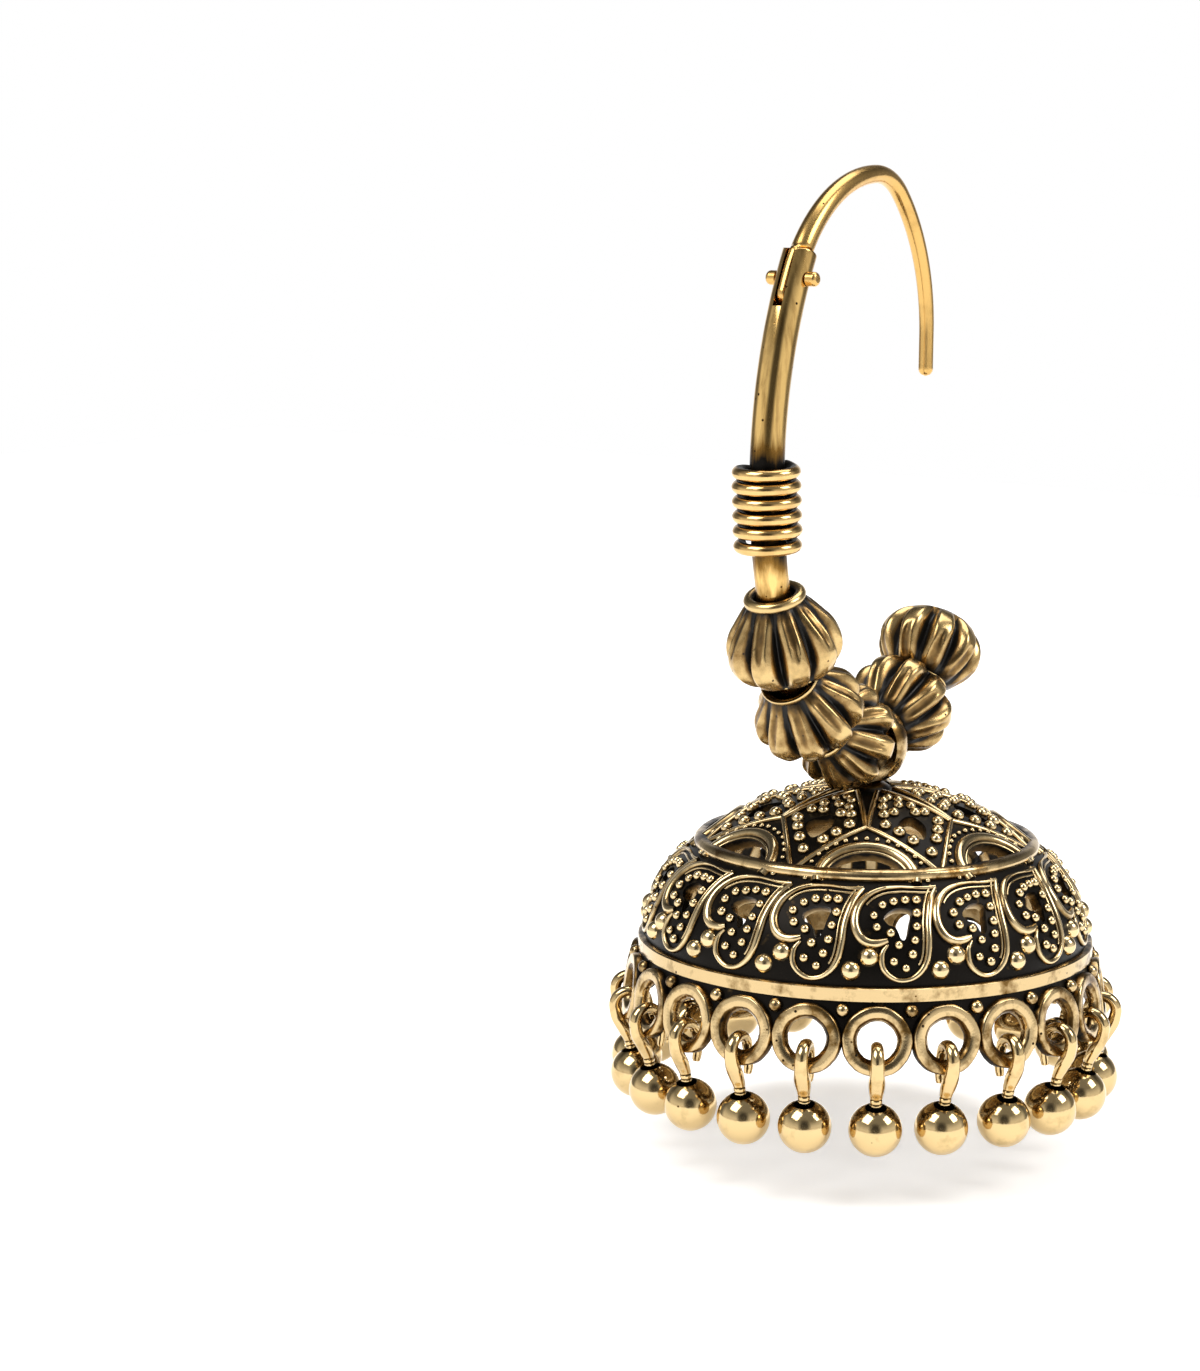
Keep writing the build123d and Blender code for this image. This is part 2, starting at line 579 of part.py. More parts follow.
def dome():
    """Pierced bell with its bands, relief, skirt and bail, soldered into one piece."""
    shell = profile_layer(-SHELL, 0.0, foot_angle=-4.0)
    line_layer = profile_layer(-RELIEF_ROOT, RELIEF)
    rim_layer = profile_layer(-RELIEF_ROOT, RELIEF + 0.1)
    shell = shell.fuse(*pearls())
    shell = shell.fuse(*crown_relief(line_layer, rim_layer))
    shell = shell.fuse(*drum_relief(line_layer))
    shell = shell.cut(*crown_cuts(), *drum_cuts())
    shell = Rot(Z=VIEW_TURN) * shell
    lower = band(LOWER_BAND_R, LOWER_BAND_HALF, 0.75, 0)
    upper = band(UPPER_BAND_R, UPPER_BAND_HALF, 0.75, JOIN_Z)
    whole = shell.fuse(lower, upper, Rot(Z=VIEW_TURN) * skirt(), bail())
    return Location((DOME_X, 0, BAND_Z)) * whole


# ---------------------------------------------------------------- drops
def drop():
    """Open wire hook through a ring, its stem and its ball, in the XZ plane of a ring."""
    ring_foot = (RING_HOLE_R + RING_OUTER_R) / 2
    axis_r = RING_CENTRE_R + ring_foot * math.sin(math.radians(SKIRT_FLARE)) * 0.8
    arch_r = (HOOK_FRONT - HOOK_BACK) / 2 - 0.01
    path = FilletPolyline((0, 0, DROP_BALL_R * 0.6), (0, 0, HOOK_NECK), (HOOK_FRONT, 0, HOOK_FRONT_FOOT),
                          (HOOK_FRONT, 0, HOOK_TOP), (HOOK_BACK, 0, HOOK_TOP),
                          (HOOK_BACK, 0, HOOK_BACK_FOOT), (HOOK_TAIL[0], 0, HOOK_TAIL[1]),
                          radius=[HOOK_BEND_R, HOOK_BEND_R, arch_r, arch_r, HOOK_BEND_R])
    hook = sweep(Plane(path @ 0, z_dir=path % 0) * Circle(DROP_WIRE_R), path)
    tail = Pos(*(path @ 1)) * Sphere(DROP_WIRE_R)
    hanging = Sphere(DROP_BALL_R) + hook + tail
    return Pos(axis_r - DROP_BALL_IN, 0, DROP_BALL_Z) * Rot(0, DROP_TILT, 0) * hanging


# ---------------------------------------------------------------- write the nodes
def write(shape, name):
    """One STEP file for each node."""
    solids = shape.solids()
    body = solids[0] if len(solids) == 1 else Compound(children=solids)
    export_step(body, "parts/" + name + ".step")


def main():
    """Build every node."""
    write(ear_wire(), "ear_wire")
    write(hinge_pin(), "hinge_pin")
    write(hoop_rod(), "hoop_rod")
    write(wire_coil(), "wire_coil")
    for index, (run, length, radius) in enumerate(bead_runs()):
        write(on_rod(melon_bead(length, radius), run, length), "bead_" + str(index + 1))
    write(dome(), "dome")
    one_drop = drop()
    for index in range(RING_COUNT):
        turn = VIEW_TURN + RING_TURN + index * 360 / RING_COUNT
        placed = Location((DOME_X, 0, BAND_Z)) * Rot(Z=turn) * one_drop
        write(placed, "drop_" + str(index + 1).zfill(2))


main()
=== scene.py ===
"""A jhumka earring of antiqued brass: the looks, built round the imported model."""
import logging
import math
from collections.abc import Callable
from dataclasses import dataclass, field
from enum import Enum

import bpy
import numpy as np
from mathutils import Matrix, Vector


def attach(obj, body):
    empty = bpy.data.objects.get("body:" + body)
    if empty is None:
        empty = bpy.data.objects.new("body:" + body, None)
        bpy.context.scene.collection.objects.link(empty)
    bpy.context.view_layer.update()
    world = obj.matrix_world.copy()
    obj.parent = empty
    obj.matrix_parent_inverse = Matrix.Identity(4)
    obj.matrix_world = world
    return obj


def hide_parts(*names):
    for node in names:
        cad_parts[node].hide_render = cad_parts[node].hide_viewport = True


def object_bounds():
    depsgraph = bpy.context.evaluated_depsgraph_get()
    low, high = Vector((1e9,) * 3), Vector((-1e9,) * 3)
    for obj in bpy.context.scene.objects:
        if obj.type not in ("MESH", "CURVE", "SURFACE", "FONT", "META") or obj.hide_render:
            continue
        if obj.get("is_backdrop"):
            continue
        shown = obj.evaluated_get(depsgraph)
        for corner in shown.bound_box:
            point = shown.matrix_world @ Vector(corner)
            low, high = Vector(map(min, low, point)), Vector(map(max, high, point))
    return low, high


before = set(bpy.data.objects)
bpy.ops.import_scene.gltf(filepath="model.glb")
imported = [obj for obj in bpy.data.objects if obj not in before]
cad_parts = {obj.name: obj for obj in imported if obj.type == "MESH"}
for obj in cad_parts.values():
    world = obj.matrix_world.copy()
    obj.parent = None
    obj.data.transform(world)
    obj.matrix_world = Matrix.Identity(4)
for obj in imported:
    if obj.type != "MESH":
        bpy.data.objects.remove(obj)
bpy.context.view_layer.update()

LOG = logging.getLogger("jhumka")
MM = 0.001
Array = np.ndarray
Surface = Callable[[Array, Array, Array | float], tuple[Array, Array]]      # x, y, lift: points, normals
Y_AXIS = np.array([0.0, 1.0, 0.0])
EVEN_WEAR = 0.95            # wear of a finish that doesn't read its piece's own
SHARP = 48.0                # degrees past which an edge isn't smoothed


# ---------------------------------------------------------------- small tools
def linear(hex_colour: str) -> tuple[float, float, float, float]:
    """Turn an sRGB hex colour into a linear one.

    Args:
        hex_colour: six hex digits, such as "C9A05A".

    Returns:
        Linear red, green, blue and an alpha of 1.
    """
    parts = [int(hex_colour[i:i + 2], 16) / 255 for i in (0, 2, 4)]
    red, green, blue = [c / 12.92 if c <= 0.04045 else ((c + 0.055) / 1.055) ** 2.4 for c in parts]
    return red, green, blue, 1.0


def unit(vectors: Array) -> Array:
    """Vectors scaled to a length of 1."""
    return vectors / np.maximum(np.linalg.norm(vectors, axis=-1, keepdims=True), 1e-12)


def step(low: float, high: float, values: Array) -> Array:
    """Smooth step from 0 at low to 1 at high."""
    share = np.clip((values - low) / (high - low), 0.0, 1.0)
    return share * share * (3 - 2 * share)


def rotation(axis: int, degrees: float) -> Array:
    """Matrix that turns row vectors about one axis: 0 for X, 1 for Y, 2 for Z."""
    c, s = math.cos(math.radians(degrees)), math.sin(math.radians(degrees))
    first, second = (axis + 1) % 3, (axis + 2) % 3
    matrix = np.eye(3)
    matrix[first, [first, second]] = c, s
    matrix[second, [first, second]] = -s, c
    return matrix


def turned(points: Array, degrees: float) -> Array:
    """Points turned about the Z axis."""
    return points @ rotation(2, degrees)


def angles_round(count: int) -> Array:
    """So many even angles round a circle, in radians."""
    return np.arange(count) / count * 2 * math.pi


def even_turns(count: int, first: float = 0.0) -> Array:
    """So many even turns about Z, in degrees, the first a share of one past 0."""
    return 360 / count * (np.arange(count) + first)


def polar(radius: Array | float, angle: Array, height: Array | float) -> Array:
    """Points at a radius and an angle about the Z axis, and a height."""
    return np.stack(np.broadcast_arrays(radius * np.cos(angle), radius * np.sin(angle), height), -1)


def in_xz(rows: Array) -> Array:
    """Points (x, 0, z) of rows that begin with x and z."""
    return np.stack([rows[:, 0], np.zeros(len(rows)), rows[:, 1]], -1)


def lengths(path: Array) -> Array:
    """Length along a path up to each of its points."""
    return np.concatenate([[0], np.cumsum(np.linalg.norm(np.diff(path, axis=0), axis=1))])


def smooth_curve(knots: Array, pieces: int, closed: bool = False) -> Array:
    """Smooth curve through knots.

    Between two knots the curve is the cubic whose slope at each knot is half the way from
    the knot before to the knot after (Catmull-Rom), worked out for all the spans at once.

    Args:
        knots: rows of coordinates, and of any widths that go with them.
        pieces: samples in each span.
        closed: whether the last knot joins the first.

    Returns:
        The sampled rows, with the last knot at the end of an open curve.
    """
    rows = np.asarray(knots, float)
    if closed:
        ring = np.vstack([rows[-1:], rows, rows[:2]])
    else:
        ring = np.vstack([2 * rows[:1] - rows[1:2], rows, 2 * rows[-1:] - rows[-2:-1]])
    before, start, end, after = ring[:-3, None], ring[1:-2, None], ring[2:-1, None], ring[3:, None]
    t = (np.arange(pieces) / pieces)[None, :, None]
    curve = 0.5 * (2 * start + (end - before) * t + (2 * before - 5 * start + 4 * end - after) * t ** 2
                   + (3 * start - before - 3 * end + after) * t ** 3)
    curve = curve.reshape(-1, rows.shape[1])
    return curve if closed else np.vstack([curve, rows[-1:]])


def edge_distance(points: Array, outline: Array) -> tuple[Array, Array]:
    """Signed distance from points to a closed outline, and the nearest place on it.

    The distance to each edge is that to the foot of the perpendicular, held within the edge,
    and its sign comes from how often a ray to the right crosses the outline.

    Args:
        points: (n, 2) places.
        outline: (m, 2) corners of a closed outline.

    Returns:
        Distances, negative inside, and the (n, 2) nearest places.
    """
    start, end = outline, np.roll(outline, -1, axis=0)
    along = end - start
    offset = points[:, None] - start[None]
    share = np.clip((offset * along).sum(-1) / np.maximum((along ** 2).sum(-1), 1e-12), 0, 1)
    feet = start[None] + share[..., None] * along[None]
    gaps = np.linalg.norm(points[:, None] - feet, axis=-1)
    best = gaps.argmin(1)
    rows = np.arange(len(points))
    over = (start[:, 1][None] > points[:, 1:2]) != (end[:, 1][None] > points[:, 1:2])
    rise = np.where(np.abs(along[:, 1]) < 1e-12, 1e-12, along[:, 1])
    cross_x = start[:, 0] + (points[:, 1:2] - start[:, 1]) / rise * along[:, 0]
    inside = (over & (points[:, 0:1] < cross_x)).sum(1) % 2 == 1
    return np.where(inside, -1, 1) * gaps[rows, best], feet[rows, best]


class Mould:
    """Surfaces of one piece, gathered as whole arrays with the wear of each point.

    Wear is 0 where the dark patina stays and 1 where handling has polished the brass. On some pieces the same
    values also hold painted shade and painted light: the rod darkened by the coil and in the beads, the coil
    darkened between its turns, and the drum's inner face lightened.
    """

    def __init__(self) -> None:
        """Start with no surfaces."""
        self.points: list[Array] = []
        self.triangles: list[Array] = []
        self.wear_and_painted_light: list[Array] = []

    def add(self, points: Array, triangles: Array, wear_and_painted_light: Array | float) -> None:
        """Add a mesh as it is, its triangles numbered from its own first point."""
        self.points.append(points)
        self.triangles.append(triangles)
        self.wear_and_painted_light.append(np.broadcast_to(np.asarray(wear_and_painted_light, float), len(points)))

    def take(self, other: "Mould", place: "Place | None" = None) -> None:
        """Add all that another mould holds, carried to a place if one is given."""
        for points, triangles, wear_and_painted_light in zip(other.points, other.triangles, other.wear_and_painted_light):
            self.add(place.carry(points) if place else points, triangles, wear_and_painted_light)

    def closed(self, points: Array, triangles: Array, wear_and_painted_light: Array | float) -> None:
        """Add a closed surface, turned so that its volume comes out positive and it faces outwards."""
        corners = points[triangles] - points.mean(0)
        volume = np.einsum("ij,ij->i", corners[:, 0], np.cross(corners[:, 1], corners[:, 2])).sum()
        self.add(points, triangles if volume > 0 else triangles[:, ::-1], wear_and_painted_light)

    def rings(self, rows: Array, wear_and_painted_light: Array | float, loop: bool = False) -> None:
        """Add a surface through rings of points, closed by a fan at each end unless it is a loop.

        Args:
            rows: (rings, points in a ring, 3).
            wear_and_painted_light: one value, or (rings, points in a ring) values.
            loop: whether the last ring joins the first.
        """
        count, width = rows.shape[:2]
        wear_and_painted_light = np.broadcast_to(np.asarray(wear_and_painted_light, float), (count, width))
        triangles = grid_triangles(count, width, loop, True)
        points, values = rows.reshape(-1, 3), wear_and_painted_light.reshape(-1)
        if not loop:
            here, after = np.arange(width), (np.arange(width) + 1) % width
            last = (count - 1) * width
            low = np.stack([np.full(width, count * width), after, here], -1)
            high = np.stack([np.full(width, count * width + 1), last + here, last + after], -1)
            triangles = np.vstack([triangles, low, high])
            points = np.vstack([points, rows[0].mean(0), rows[-1].mean(0)])
            values = np.concatenate([values, [wear_and_painted_light[0].mean(), wear_and_painted_light[-1].mean()]])
        self.closed(points, triangles, values)

    def tube(self, path: Array, up: Array, width: Array | float, height: Array | float, sides: int,
             wear_and_painted_light: Array | float | None = None, loop: bool = False, sink: float = 1.0,
             blunt: Array | float = 1.0) -> None:
        """Add an oval section carried along a path.

        Each ring lies across the path: its point at an angle is the path's point, plus the
        side vector times half the width times the cosine, plus the up vector times the height
        times the sine, which is cut to a share below the middle.

        Args:
            path: (n, 3) middle line.
            up: (n, 3) or (3,) vectors away from the surface that it lies on.
            width: half widths. height: half heights. sides: points in a ring.
            wear_and_painted_light: one value, or None for dark flanks and a bright top.
            loop: whether the path closes on itself.
            sink: share of the height that the lower half keeps.
            blunt: power of the cosine and sine, 1 for an oval and near 0 for a rectangle.
        """
        if loop:
            ahead = np.roll(path, -1, axis=0) - np.roll(path, 1, axis=0)
        else:
            ahead = np.gradient(path, axis=0)
        ahead = unit(ahead)
        side = unit(np.cross(ahead, np.broadcast_to(up, path.shape)))
        rise = unit(np.cross(side, ahead))
        angle = angles_round(sides)
        width = np.broadcast_to(np.asarray(width, float), len(path))[:, None, None]
        height = np.broadcast_to(np.asarray(height, float), len(path))[:, None, None]
        power = np.broadcast_to(np.asarray(blunt, float), len(path))[:, None]
        across, lift = [np.sign(wave) * np.abs(wave) ** power for wave in (np.cos(angle), np.sin(angle))]
        lift = np.where(lift > 0, lift, sink * lift)
        rows = (path[:, None] + side[:, None] * width * across[..., None]
                + rise[:, None] * height * lift[..., None])
        if wear_and_painted_light is None:
            wear_and_painted_light = np.broadcast_to(step(0.15, 0.9, np.sin(angle)), rows.shape[:2])
        self.rings(rows, wear_and_painted_light, loop)

    def balls(self, centres: Array, normals: Array, radii: Array, columns: int = 12, rows: int = 8,
              dark_below: float = 0.15) -> None:
        """Add a ball at each centre, its pole along its normal, all worked out at once.

        Args:
            centres: (n, 3). normals: (n, 3). radii: (n,).
            columns: points round each ball. rows: rings from pole to pole.
            dark_below: height over the middle, as a share of the radius, under which patina stays.
        """
        tilt = np.linspace(0, math.pi, rows + 1)[1:-1, None]
        ring = polar(np.sin(tilt), angles_round(columns), np.cos(tilt)).reshape(-1, 3)
        shape = np.vstack([ring, [[0, 0, 1], [0, 0, -1]]])
        here, after = np.arange(columns), (np.arange(columns) + 1) % columns
        last = (len(tilt) - 1) * columns
        top, foot = len(ring), len(ring) + 1
        triangles = np.vstack([grid_triangles(len(tilt), columns, False, True)[:, ::-1],
                               np.stack([np.full(columns, top), here, after], -1),
                               np.stack([np.full(columns, foot), last + after, last + here], -1)])
        normals = unit(normals)
        helper = np.where(np.abs(normals[:, 2:3]) > 0.9, [[1.0, 0, 0]], [[0, 0, 1.0]])
        side = unit(np.cross(helper, normals))
        axes = np.stack([side, np.cross(normals, side), normals], 1)
        points = centres[:, None] + radii[:, None, None] * np.einsum("pk,nkj->npj", shape, axes)
        wear_and_painted_light = np.tile(step(dark_below - 0.45, dark_below + 0.35, shape[:, 2]), len(centres))
        offsets = (np.arange(len(centres)) * len(shape))[:, None, None]
        self.add(points.reshape(-1, 3), (triangles[None] + offsets).reshape(-1, 3), wear_and_painted_light)

    def lathe(self, profile: Array, columns: int, wear_and_painted_light: Array | float = 1.0, wobble: float = 0.0) -> None:
        """Add a closed (radius, height) profile turned round the Z axis.

        Args:
            profile: (n, 2) corners of a closed profile, none of them on the axis.
            columns: points round the axis.
            wear_and_painted_light: one value, or one for each corner.
            wobble: how far the radius strays, on slow waves round the axis.
        """
        turn = angles_round(columns)
        stray = wobble * (np.sin(5 * turn + 1) + 0.7 * np.sin(11 * turn) + 0.5 * np.sin(23 * turn + 2))
        rows = polar(profile[:, 0:1] + stray[None], turn, profile[:, 1:2])
        values = np.broadcast_to(np.asarray(wear_and_painted_light, float), len(profile))[:, None]
        self.rings(rows, np.broadcast_to(values, rows.shape[:2]), loop=True)

    def piece(self, name: str, place: "Place") -> bpy.types.Object:
        """Make the mesh object, with its place in its mesh.

        Args:
            name: the piece's name.
            place: where its millimetres lie in the row's frame.

        Returns:
            The new object, linked to the scene.
        """
        starts = np.cumsum([0] + [len(points) for points in self.points[:-1]])
        triangles = np.vstack([corners + start for corners, start in zip(self.triangles, starts)])
        mesh = bpy.data.meshes.new(name)
        mesh.from_pydata(place.carry(np.vstack(self.points)) * MM, [], triangles)
        mesh.polygons.foreach_set("use_smooth", np.ones(len(mesh.polygons), bool))
        mesh.set_sharp_from_angle(angle=math.radians(SHARP))
        layer = mesh.attributes.new("wear_and_painted_light", "FLOAT", "POINT")
        layer.data.foreach_set("value", np.concatenate(self.wear_and_painted_light).astype(np.float32))
        mesh.update()
        made = bpy.data.objects.new(name, mesh)
        bpy.context.scene.collection.objects.link(made)
        return made


def grid_triangles(rows: int, columns: int, loop_rows: bool, loop_columns: bool) -> Array:
    """Triangles of a grid of points numbered row by row."""
    row = np.arange(rows if loop_rows else rows - 1)[:, None]
    column = np.arange(columns if loop_columns else columns - 1)[None]
    next_row, next_column = (row + 1) % rows, (column + 1) % columns
    a, b = row * columns + column, row * columns + next_column
    c, d = next_row * columns + next_column, next_row * columns + column
    return np.concatenate([np.stack([a, b, c], -1).reshape(-1, 3), np.stack([a, c, d], -1).reshape(-1, 3)])


@dataclass(frozen=True)
class Place:
    """Where a sub-assembly's own axes lie in the row's frame, in mm."""

    origin: tuple[float, float, float] = (0.0, 0.0, 0.0)
    x: tuple[float, float, float] = (1.0, 0.0, 0.0)
    y: tuple[float, float, float] = (0.0, 1.0, 0.0)
    z: tuple[float, float, float] = (0.0, 0.0, 1.0)

    def carry(self, points: Array) -> Array:
        """Points of the sub-assembly in the row's frame."""
        return np.asarray(points) @ np.array([self.x, self.y, self.z]) + np.array(self.origin)


# ---------------------------------------------------------------- finishes
def add_node(tree: bpy.types.NodeTree, kind: str, settings: dict | None = None,
             links: dict | None = None) -> bpy.types.Node:
    """Add a node with its settings and links.

    Args:
        tree: the tree that it goes into.
        kind: the node's type name.
        settings: socket values by socket name or number, and properties by name.
        links: output sockets by the name or number of the input that they go into.

    Returns:
        The node.
    """
    node = tree.nodes.new(kind)
    for key, value in (settings or {}).items():
        if isinstance(key, str) and hasattr(node, key):
            setattr(node, key, value)
        else:
            node.inputs[key].default_value = value
    for key, source in (links or {}).items():
        tree.links.new(source, node.inputs[key])
    return node


def add_range(tree: bpy.types.NodeTree, source: bpy.types.NodeSocket, low: float, high: float,
              to_low: float = 0.0, to_high: float = 1.0, clamp: bool = True) -> bpy.types.NodeSocket:
    """Add a node that carries low to to_low and high to to_high, and give its result."""
    return add_node(tree, "ShaderNodeMapRange", {"From Min": low, "From Max": high, "To Min": to_low,
                                                 "To Max": to_high, "clamp": clamp},
                    {"Value": source}).outputs["Result"]


@dataclass(frozen=True)
class BrassFinish:
    """A brass surface, from black patina in its recesses to polished metal on its high points."""

    name: str
    bright: str
    worn: str
    patina: str = "120E09"
    rough: float = 0.16
    patina_rough: float = 0.42
    patina_metal: float = 0.85
    uses_wear: bool = True
    stain: float = 0.25       # how far cloudy stains push the wear up and down
    stain_mm: float = 1.4
    grain_mm: float = 0.12
    grain_depth: float = 0.008
    pit_mm: float = 1.1       # spacing of casting pits
    pit_share: float = 0.08   # size of a pit as a share of that spacing
    drawn: float = 1.0        # how many times longer the marks are along Z than across

    def build(self) -> bpy.types.Material:
        """Make the material.

        Stains are noise added to the wear. The sum chooses the colour from patina through worn
        to bright brass, and the roughness with it. Pits are the cells' middles of a Voronoi
        pattern: dark, and sunk by the bump.

        Returns:
            The material.
        """
        material = bpy.data.materials.new(self.name)
        material.use_nodes = True
        tree = material.node_tree
        tree.nodes.clear()
        place = add_node(tree, "ShaderNodeTexCoord").outputs["Object"]
        along = add_node(tree, "ShaderNodeMapping", {"Scale": (1.0, 1.0, 1 / self.drawn)}, {"Vector": place})
        stains = add_node(tree, "ShaderNodeTexNoise",
                          {"Scale": 1 / (self.stain_mm * MM), "Detail": 5.0, "Roughness": 0.6},
                          {"Vector": along.outputs["Vector"]})
        grain = add_node(tree, "ShaderNodeTexNoise", {"Scale": 1 / (self.grain_mm * MM), "Detail": 2.0},
                         {"Vector": place})
        pits = add_node(tree, "ShaderNodeTexVoronoi", {"Scale": 1 / (self.pit_mm * MM)}, {"Vector": place})
        pit = add_range(tree, pits.outputs["Distance"], self.pit_share * 0.5, self.pit_share)
        cloud = add_range(tree, stains.outputs["Fac"], 0.3, 0.7, -self.stain, self.stain * 0.6, False)
        wear_and_painted_light = add_node(tree, "ShaderNodeMath", {"operation": "ADD", 0: EVEN_WEAR}, {1: cloud})
        if self.uses_wear:
            # the piece's own values: patina and wear, and on the rod, the coil and the drum's inner face also
            # painted shade and light
            own = add_node(tree, "ShaderNodeAttribute", {"attribute_name": "wear_and_painted_light"})
            tree.links.new(own.outputs["Fac"], wear_and_painted_light.inputs[0])
        level = add_node(tree, "ShaderNodeMath", {"operation": "MULTIPLY", "use_clamp": True},
                         {0: wear_and_painted_light.outputs[0], 1: pit}).outputs[0]
        ramp = add_node(tree, "ShaderNodeValToRGB", {}, {"Fac": level})
        stops = ramp.color_ramp.elements
        stops[0].position, stops[0].color = 0.12, linear(self.patina)
        stops[1].position, stops[1].color = 0.9, linear(self.bright)
        stops.new(0.5).color = linear(self.worn)
        rough = add_range(tree, level, 0.1, 0.8, self.patina_rough, self.rough)
        metal = add_range(tree, level, 0.05, 0.4, self.patina_metal, 1.0)
        depth = add_node(tree, "ShaderNodeMath", {"operation": "MULTIPLY_ADD", 1: 0.35},
                         {0: grain.outputs["Fac"], 2: pit})
        bump = add_node(tree, "ShaderNodeBump", {"Strength": 1.0, "Distance": self.grain_depth * MM},
                        {"Height": depth.outputs[0]})
        shader = add_node(tree, "ShaderNodeBsdfPrincipled", {},
                          {"Base Color": ramp.outputs["Color"], "Roughness": rough, "Metallic": metal,
                           "Normal": bump.outputs["Normal"]})
        add_node(tree, "ShaderNodeOutputMaterial", {}, {"Surface": shader.outputs["BSDF"]})
        return material


class Finishes:
    """The earring's metals, each made once."""

    def __init__(self) -> None:
        """Make every material."""
        # drawn and gilded wire: clean and yellow, with faint drawing marks
        self.gilt = BrassFinish(
            "gilt_brass_wire", "CDA562", "90703C", rough=0.24, uses_wear=False, stain=0.18,
            grain_mm=0.4, grain_depth=0.002, pit_share=0.05, pit_mm=1.6).build()
        # thick rod: handled brass with pits and brown stains
        self.rod = BrassFinish(
            "handled_brass_rod", "E6BE76", "7E5C2A", rough=0.11, stain=0.34, stain_mm=0.7,
            grain_mm=0.4, grain_depth=0.003, pit_share=0.12, pit_mm=0.8, drawn=9.0).build()
        # coiled wire: the same brass, with painted shade between its turns
        self.coil = BrassFinish(
            "wound_brass_wire", "D8B375", "7E5C2A", stain=0.12, grain_mm=0.4, grain_depth=0.002,
            pit_share=0.06, pit_mm=1.2).build()
        # cast brass with a liver-of-sulphur patina left in its recesses
        self.antiqued = BrassFinish("antiqued_cast_brass", "DAC294", "846A42").build()
        # melon beads: browner and duller than the dome, black only in the valleys
        self.bead = BrassFinish(
            "antiqued_bead_brass", "CDAF78", "82663E", patina="15120E", rough=0.23, patina_rough=0.36,
            patina_metal=0.55, stain=0.22, stain_mm=1.0).build()
        # bands, rings and bail: bright, with stains left by the soldering
        self.soldered = BrassFinish(
            "soldered_band_brass", "C6AC7E", "6E532B", rough=0.17, stain=0.66, stain_mm=1.8,
            pit_mm=0.9, pit_share=0.11).build()
        # spun balls and their hooks
        self.polished = BrassFinish(
            "polished_brass", "D0B583", "85652F", rough=0.12, stain=0.22, pit_mm=1.3,
            pit_share=0.07).build()


@dataclass
class Dresser:
    """Gives each finished piece its body and its material, and hides the CAD nodes that it stands for."""

    finishes: Finishes

    def dress(self, piece: bpy.types.Object, material: bpy.types.Material, body: str, slot: str,
              *nodes: str) -> None:
        """Finish one piece.

        Args:
            piece: the mesh object.
            material: its metal.
            body: the CAD body that it rides on.
            slot: not used.
            nodes: CAD nodes that it stands for.
        """
        piece.data.materials.append(material)
        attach(piece, body)
        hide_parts(*nodes)
        LOG.info("%s: %d triangles on %s", piece.name, len(piece.data.polygons), body)


# ---------------------------------------------------------------- the hoop's line
@dataclass(frozen=True)
class HoopLine:
    """Middle line of the hoop in the XZ plane, in mm, from its arcs."""

    wire_r: float = 0.55        # of the ear wire at its crown
    crown_r: float = 10.07      # arch from the hinge to the crown
    hinge_lean: float = 24.7    # degrees from upright at the hinge
    side_r: float = 27.3
    side_end_lean: float = -24.0
    bottom_r: float = 9.7
    rod_r: float = 1.02
    bail_x: float = 0.35

    def pin(self) -> tuple[float, float]:
        """The hinge pin's place (x, z)."""
        lean = math.radians(self.hinge_lean)
        return -self.crown_r * math.cos(lean), self.wire_r - self.crown_r + self.crown_r * math.sin(lean)

    def side_centre(self) -> tuple[float, float]:
        """Centre (x, z) of the long side's arc."""
        lean = math.radians(self.hinge_lean)
        x, z = self.pin()
        return x + self.side_r * math.cos(lean), z - self.side_r * math.sin(lean)

    def side_point(self, lean: float) -> tuple[float, float]:
        """Point of the long side where it leans so many degrees from upright."""
        x, z = self.side_centre()
        return x - self.side_r * math.cos(math.radians(lean)), z + self.side_r * math.sin(math.radians(lean))

    def bottom_centre(self) -> tuple[float, float]:
        """Centre (x, z) of the round bottom."""
        lean = math.radians(self.side_end_lean)
        x, z = self.side_point(self.side_end_lean)
        return x + self.bottom_r * math.cos(lean), z - self.bottom_r * math.sin(lean)

    def bail_turn(self) -> float:
        """Degrees from the lowest point to where the bail hangs."""
        return math.degrees(math.asin((self.bail_x - self.bottom_centre()[0]) / self.bottom_r))

    def at(self, run: float) -> tuple[float, float, float, float]:
        """Point and travel direction (x, z, dx, dz) at a run from the bail, towards the far end."""
        turn = self.bail_turn() + math.degrees(run / self.bottom_r)
        split = -(90 + self.side_end_lean)
        if turn >= split:
            x, z = self.bottom_centre()
            t = math.radians(turn)
            return x + self.bottom_r * math.sin(t), z - self.bottom_r * math.cos(t), math.cos(t), math.sin(t)
        past = math.radians(split - turn) * self.bottom_r
        lean = self.side_end_lean + math.degrees(past / self.side_r)
        x, z = self.side_point(lean)
        return x, z, -math.sin(math.radians(lean)), -math.cos(math.radians(lean))

    def run_at(self, lean: float) -> float:
        """Run from the bail to where the long side leans so many degrees."""
        past = math.radians(lean - self.side_end_lean) * self.side_r
        turn = -math.radians(90 + self.side_end_lean) - past / self.bottom_r
        return (turn - math.radians(self.bail_turn())) * self.bottom_r

    def path(self, runs: Array) -> Array:
        """Points (x, y, z) of the hoop's line at each run."""
        return in_xz(np.array([self.at(float(run))[:2] for run in runs]))

    def place(self, run: float, length: float) -> Place:
        """Place of something of a length that is threaded on the rod, its own axis along the rod."""
        x, z, dx, dz = self.at(run)
        sag = length ** 2 / 16 / self.bottom_r
        return Place((x - dz * sag, 0.0, z + dx * sag), (0.0, 1.0, 0.0), (-dz, 0.0, dx), (dx, 0.0, dz))


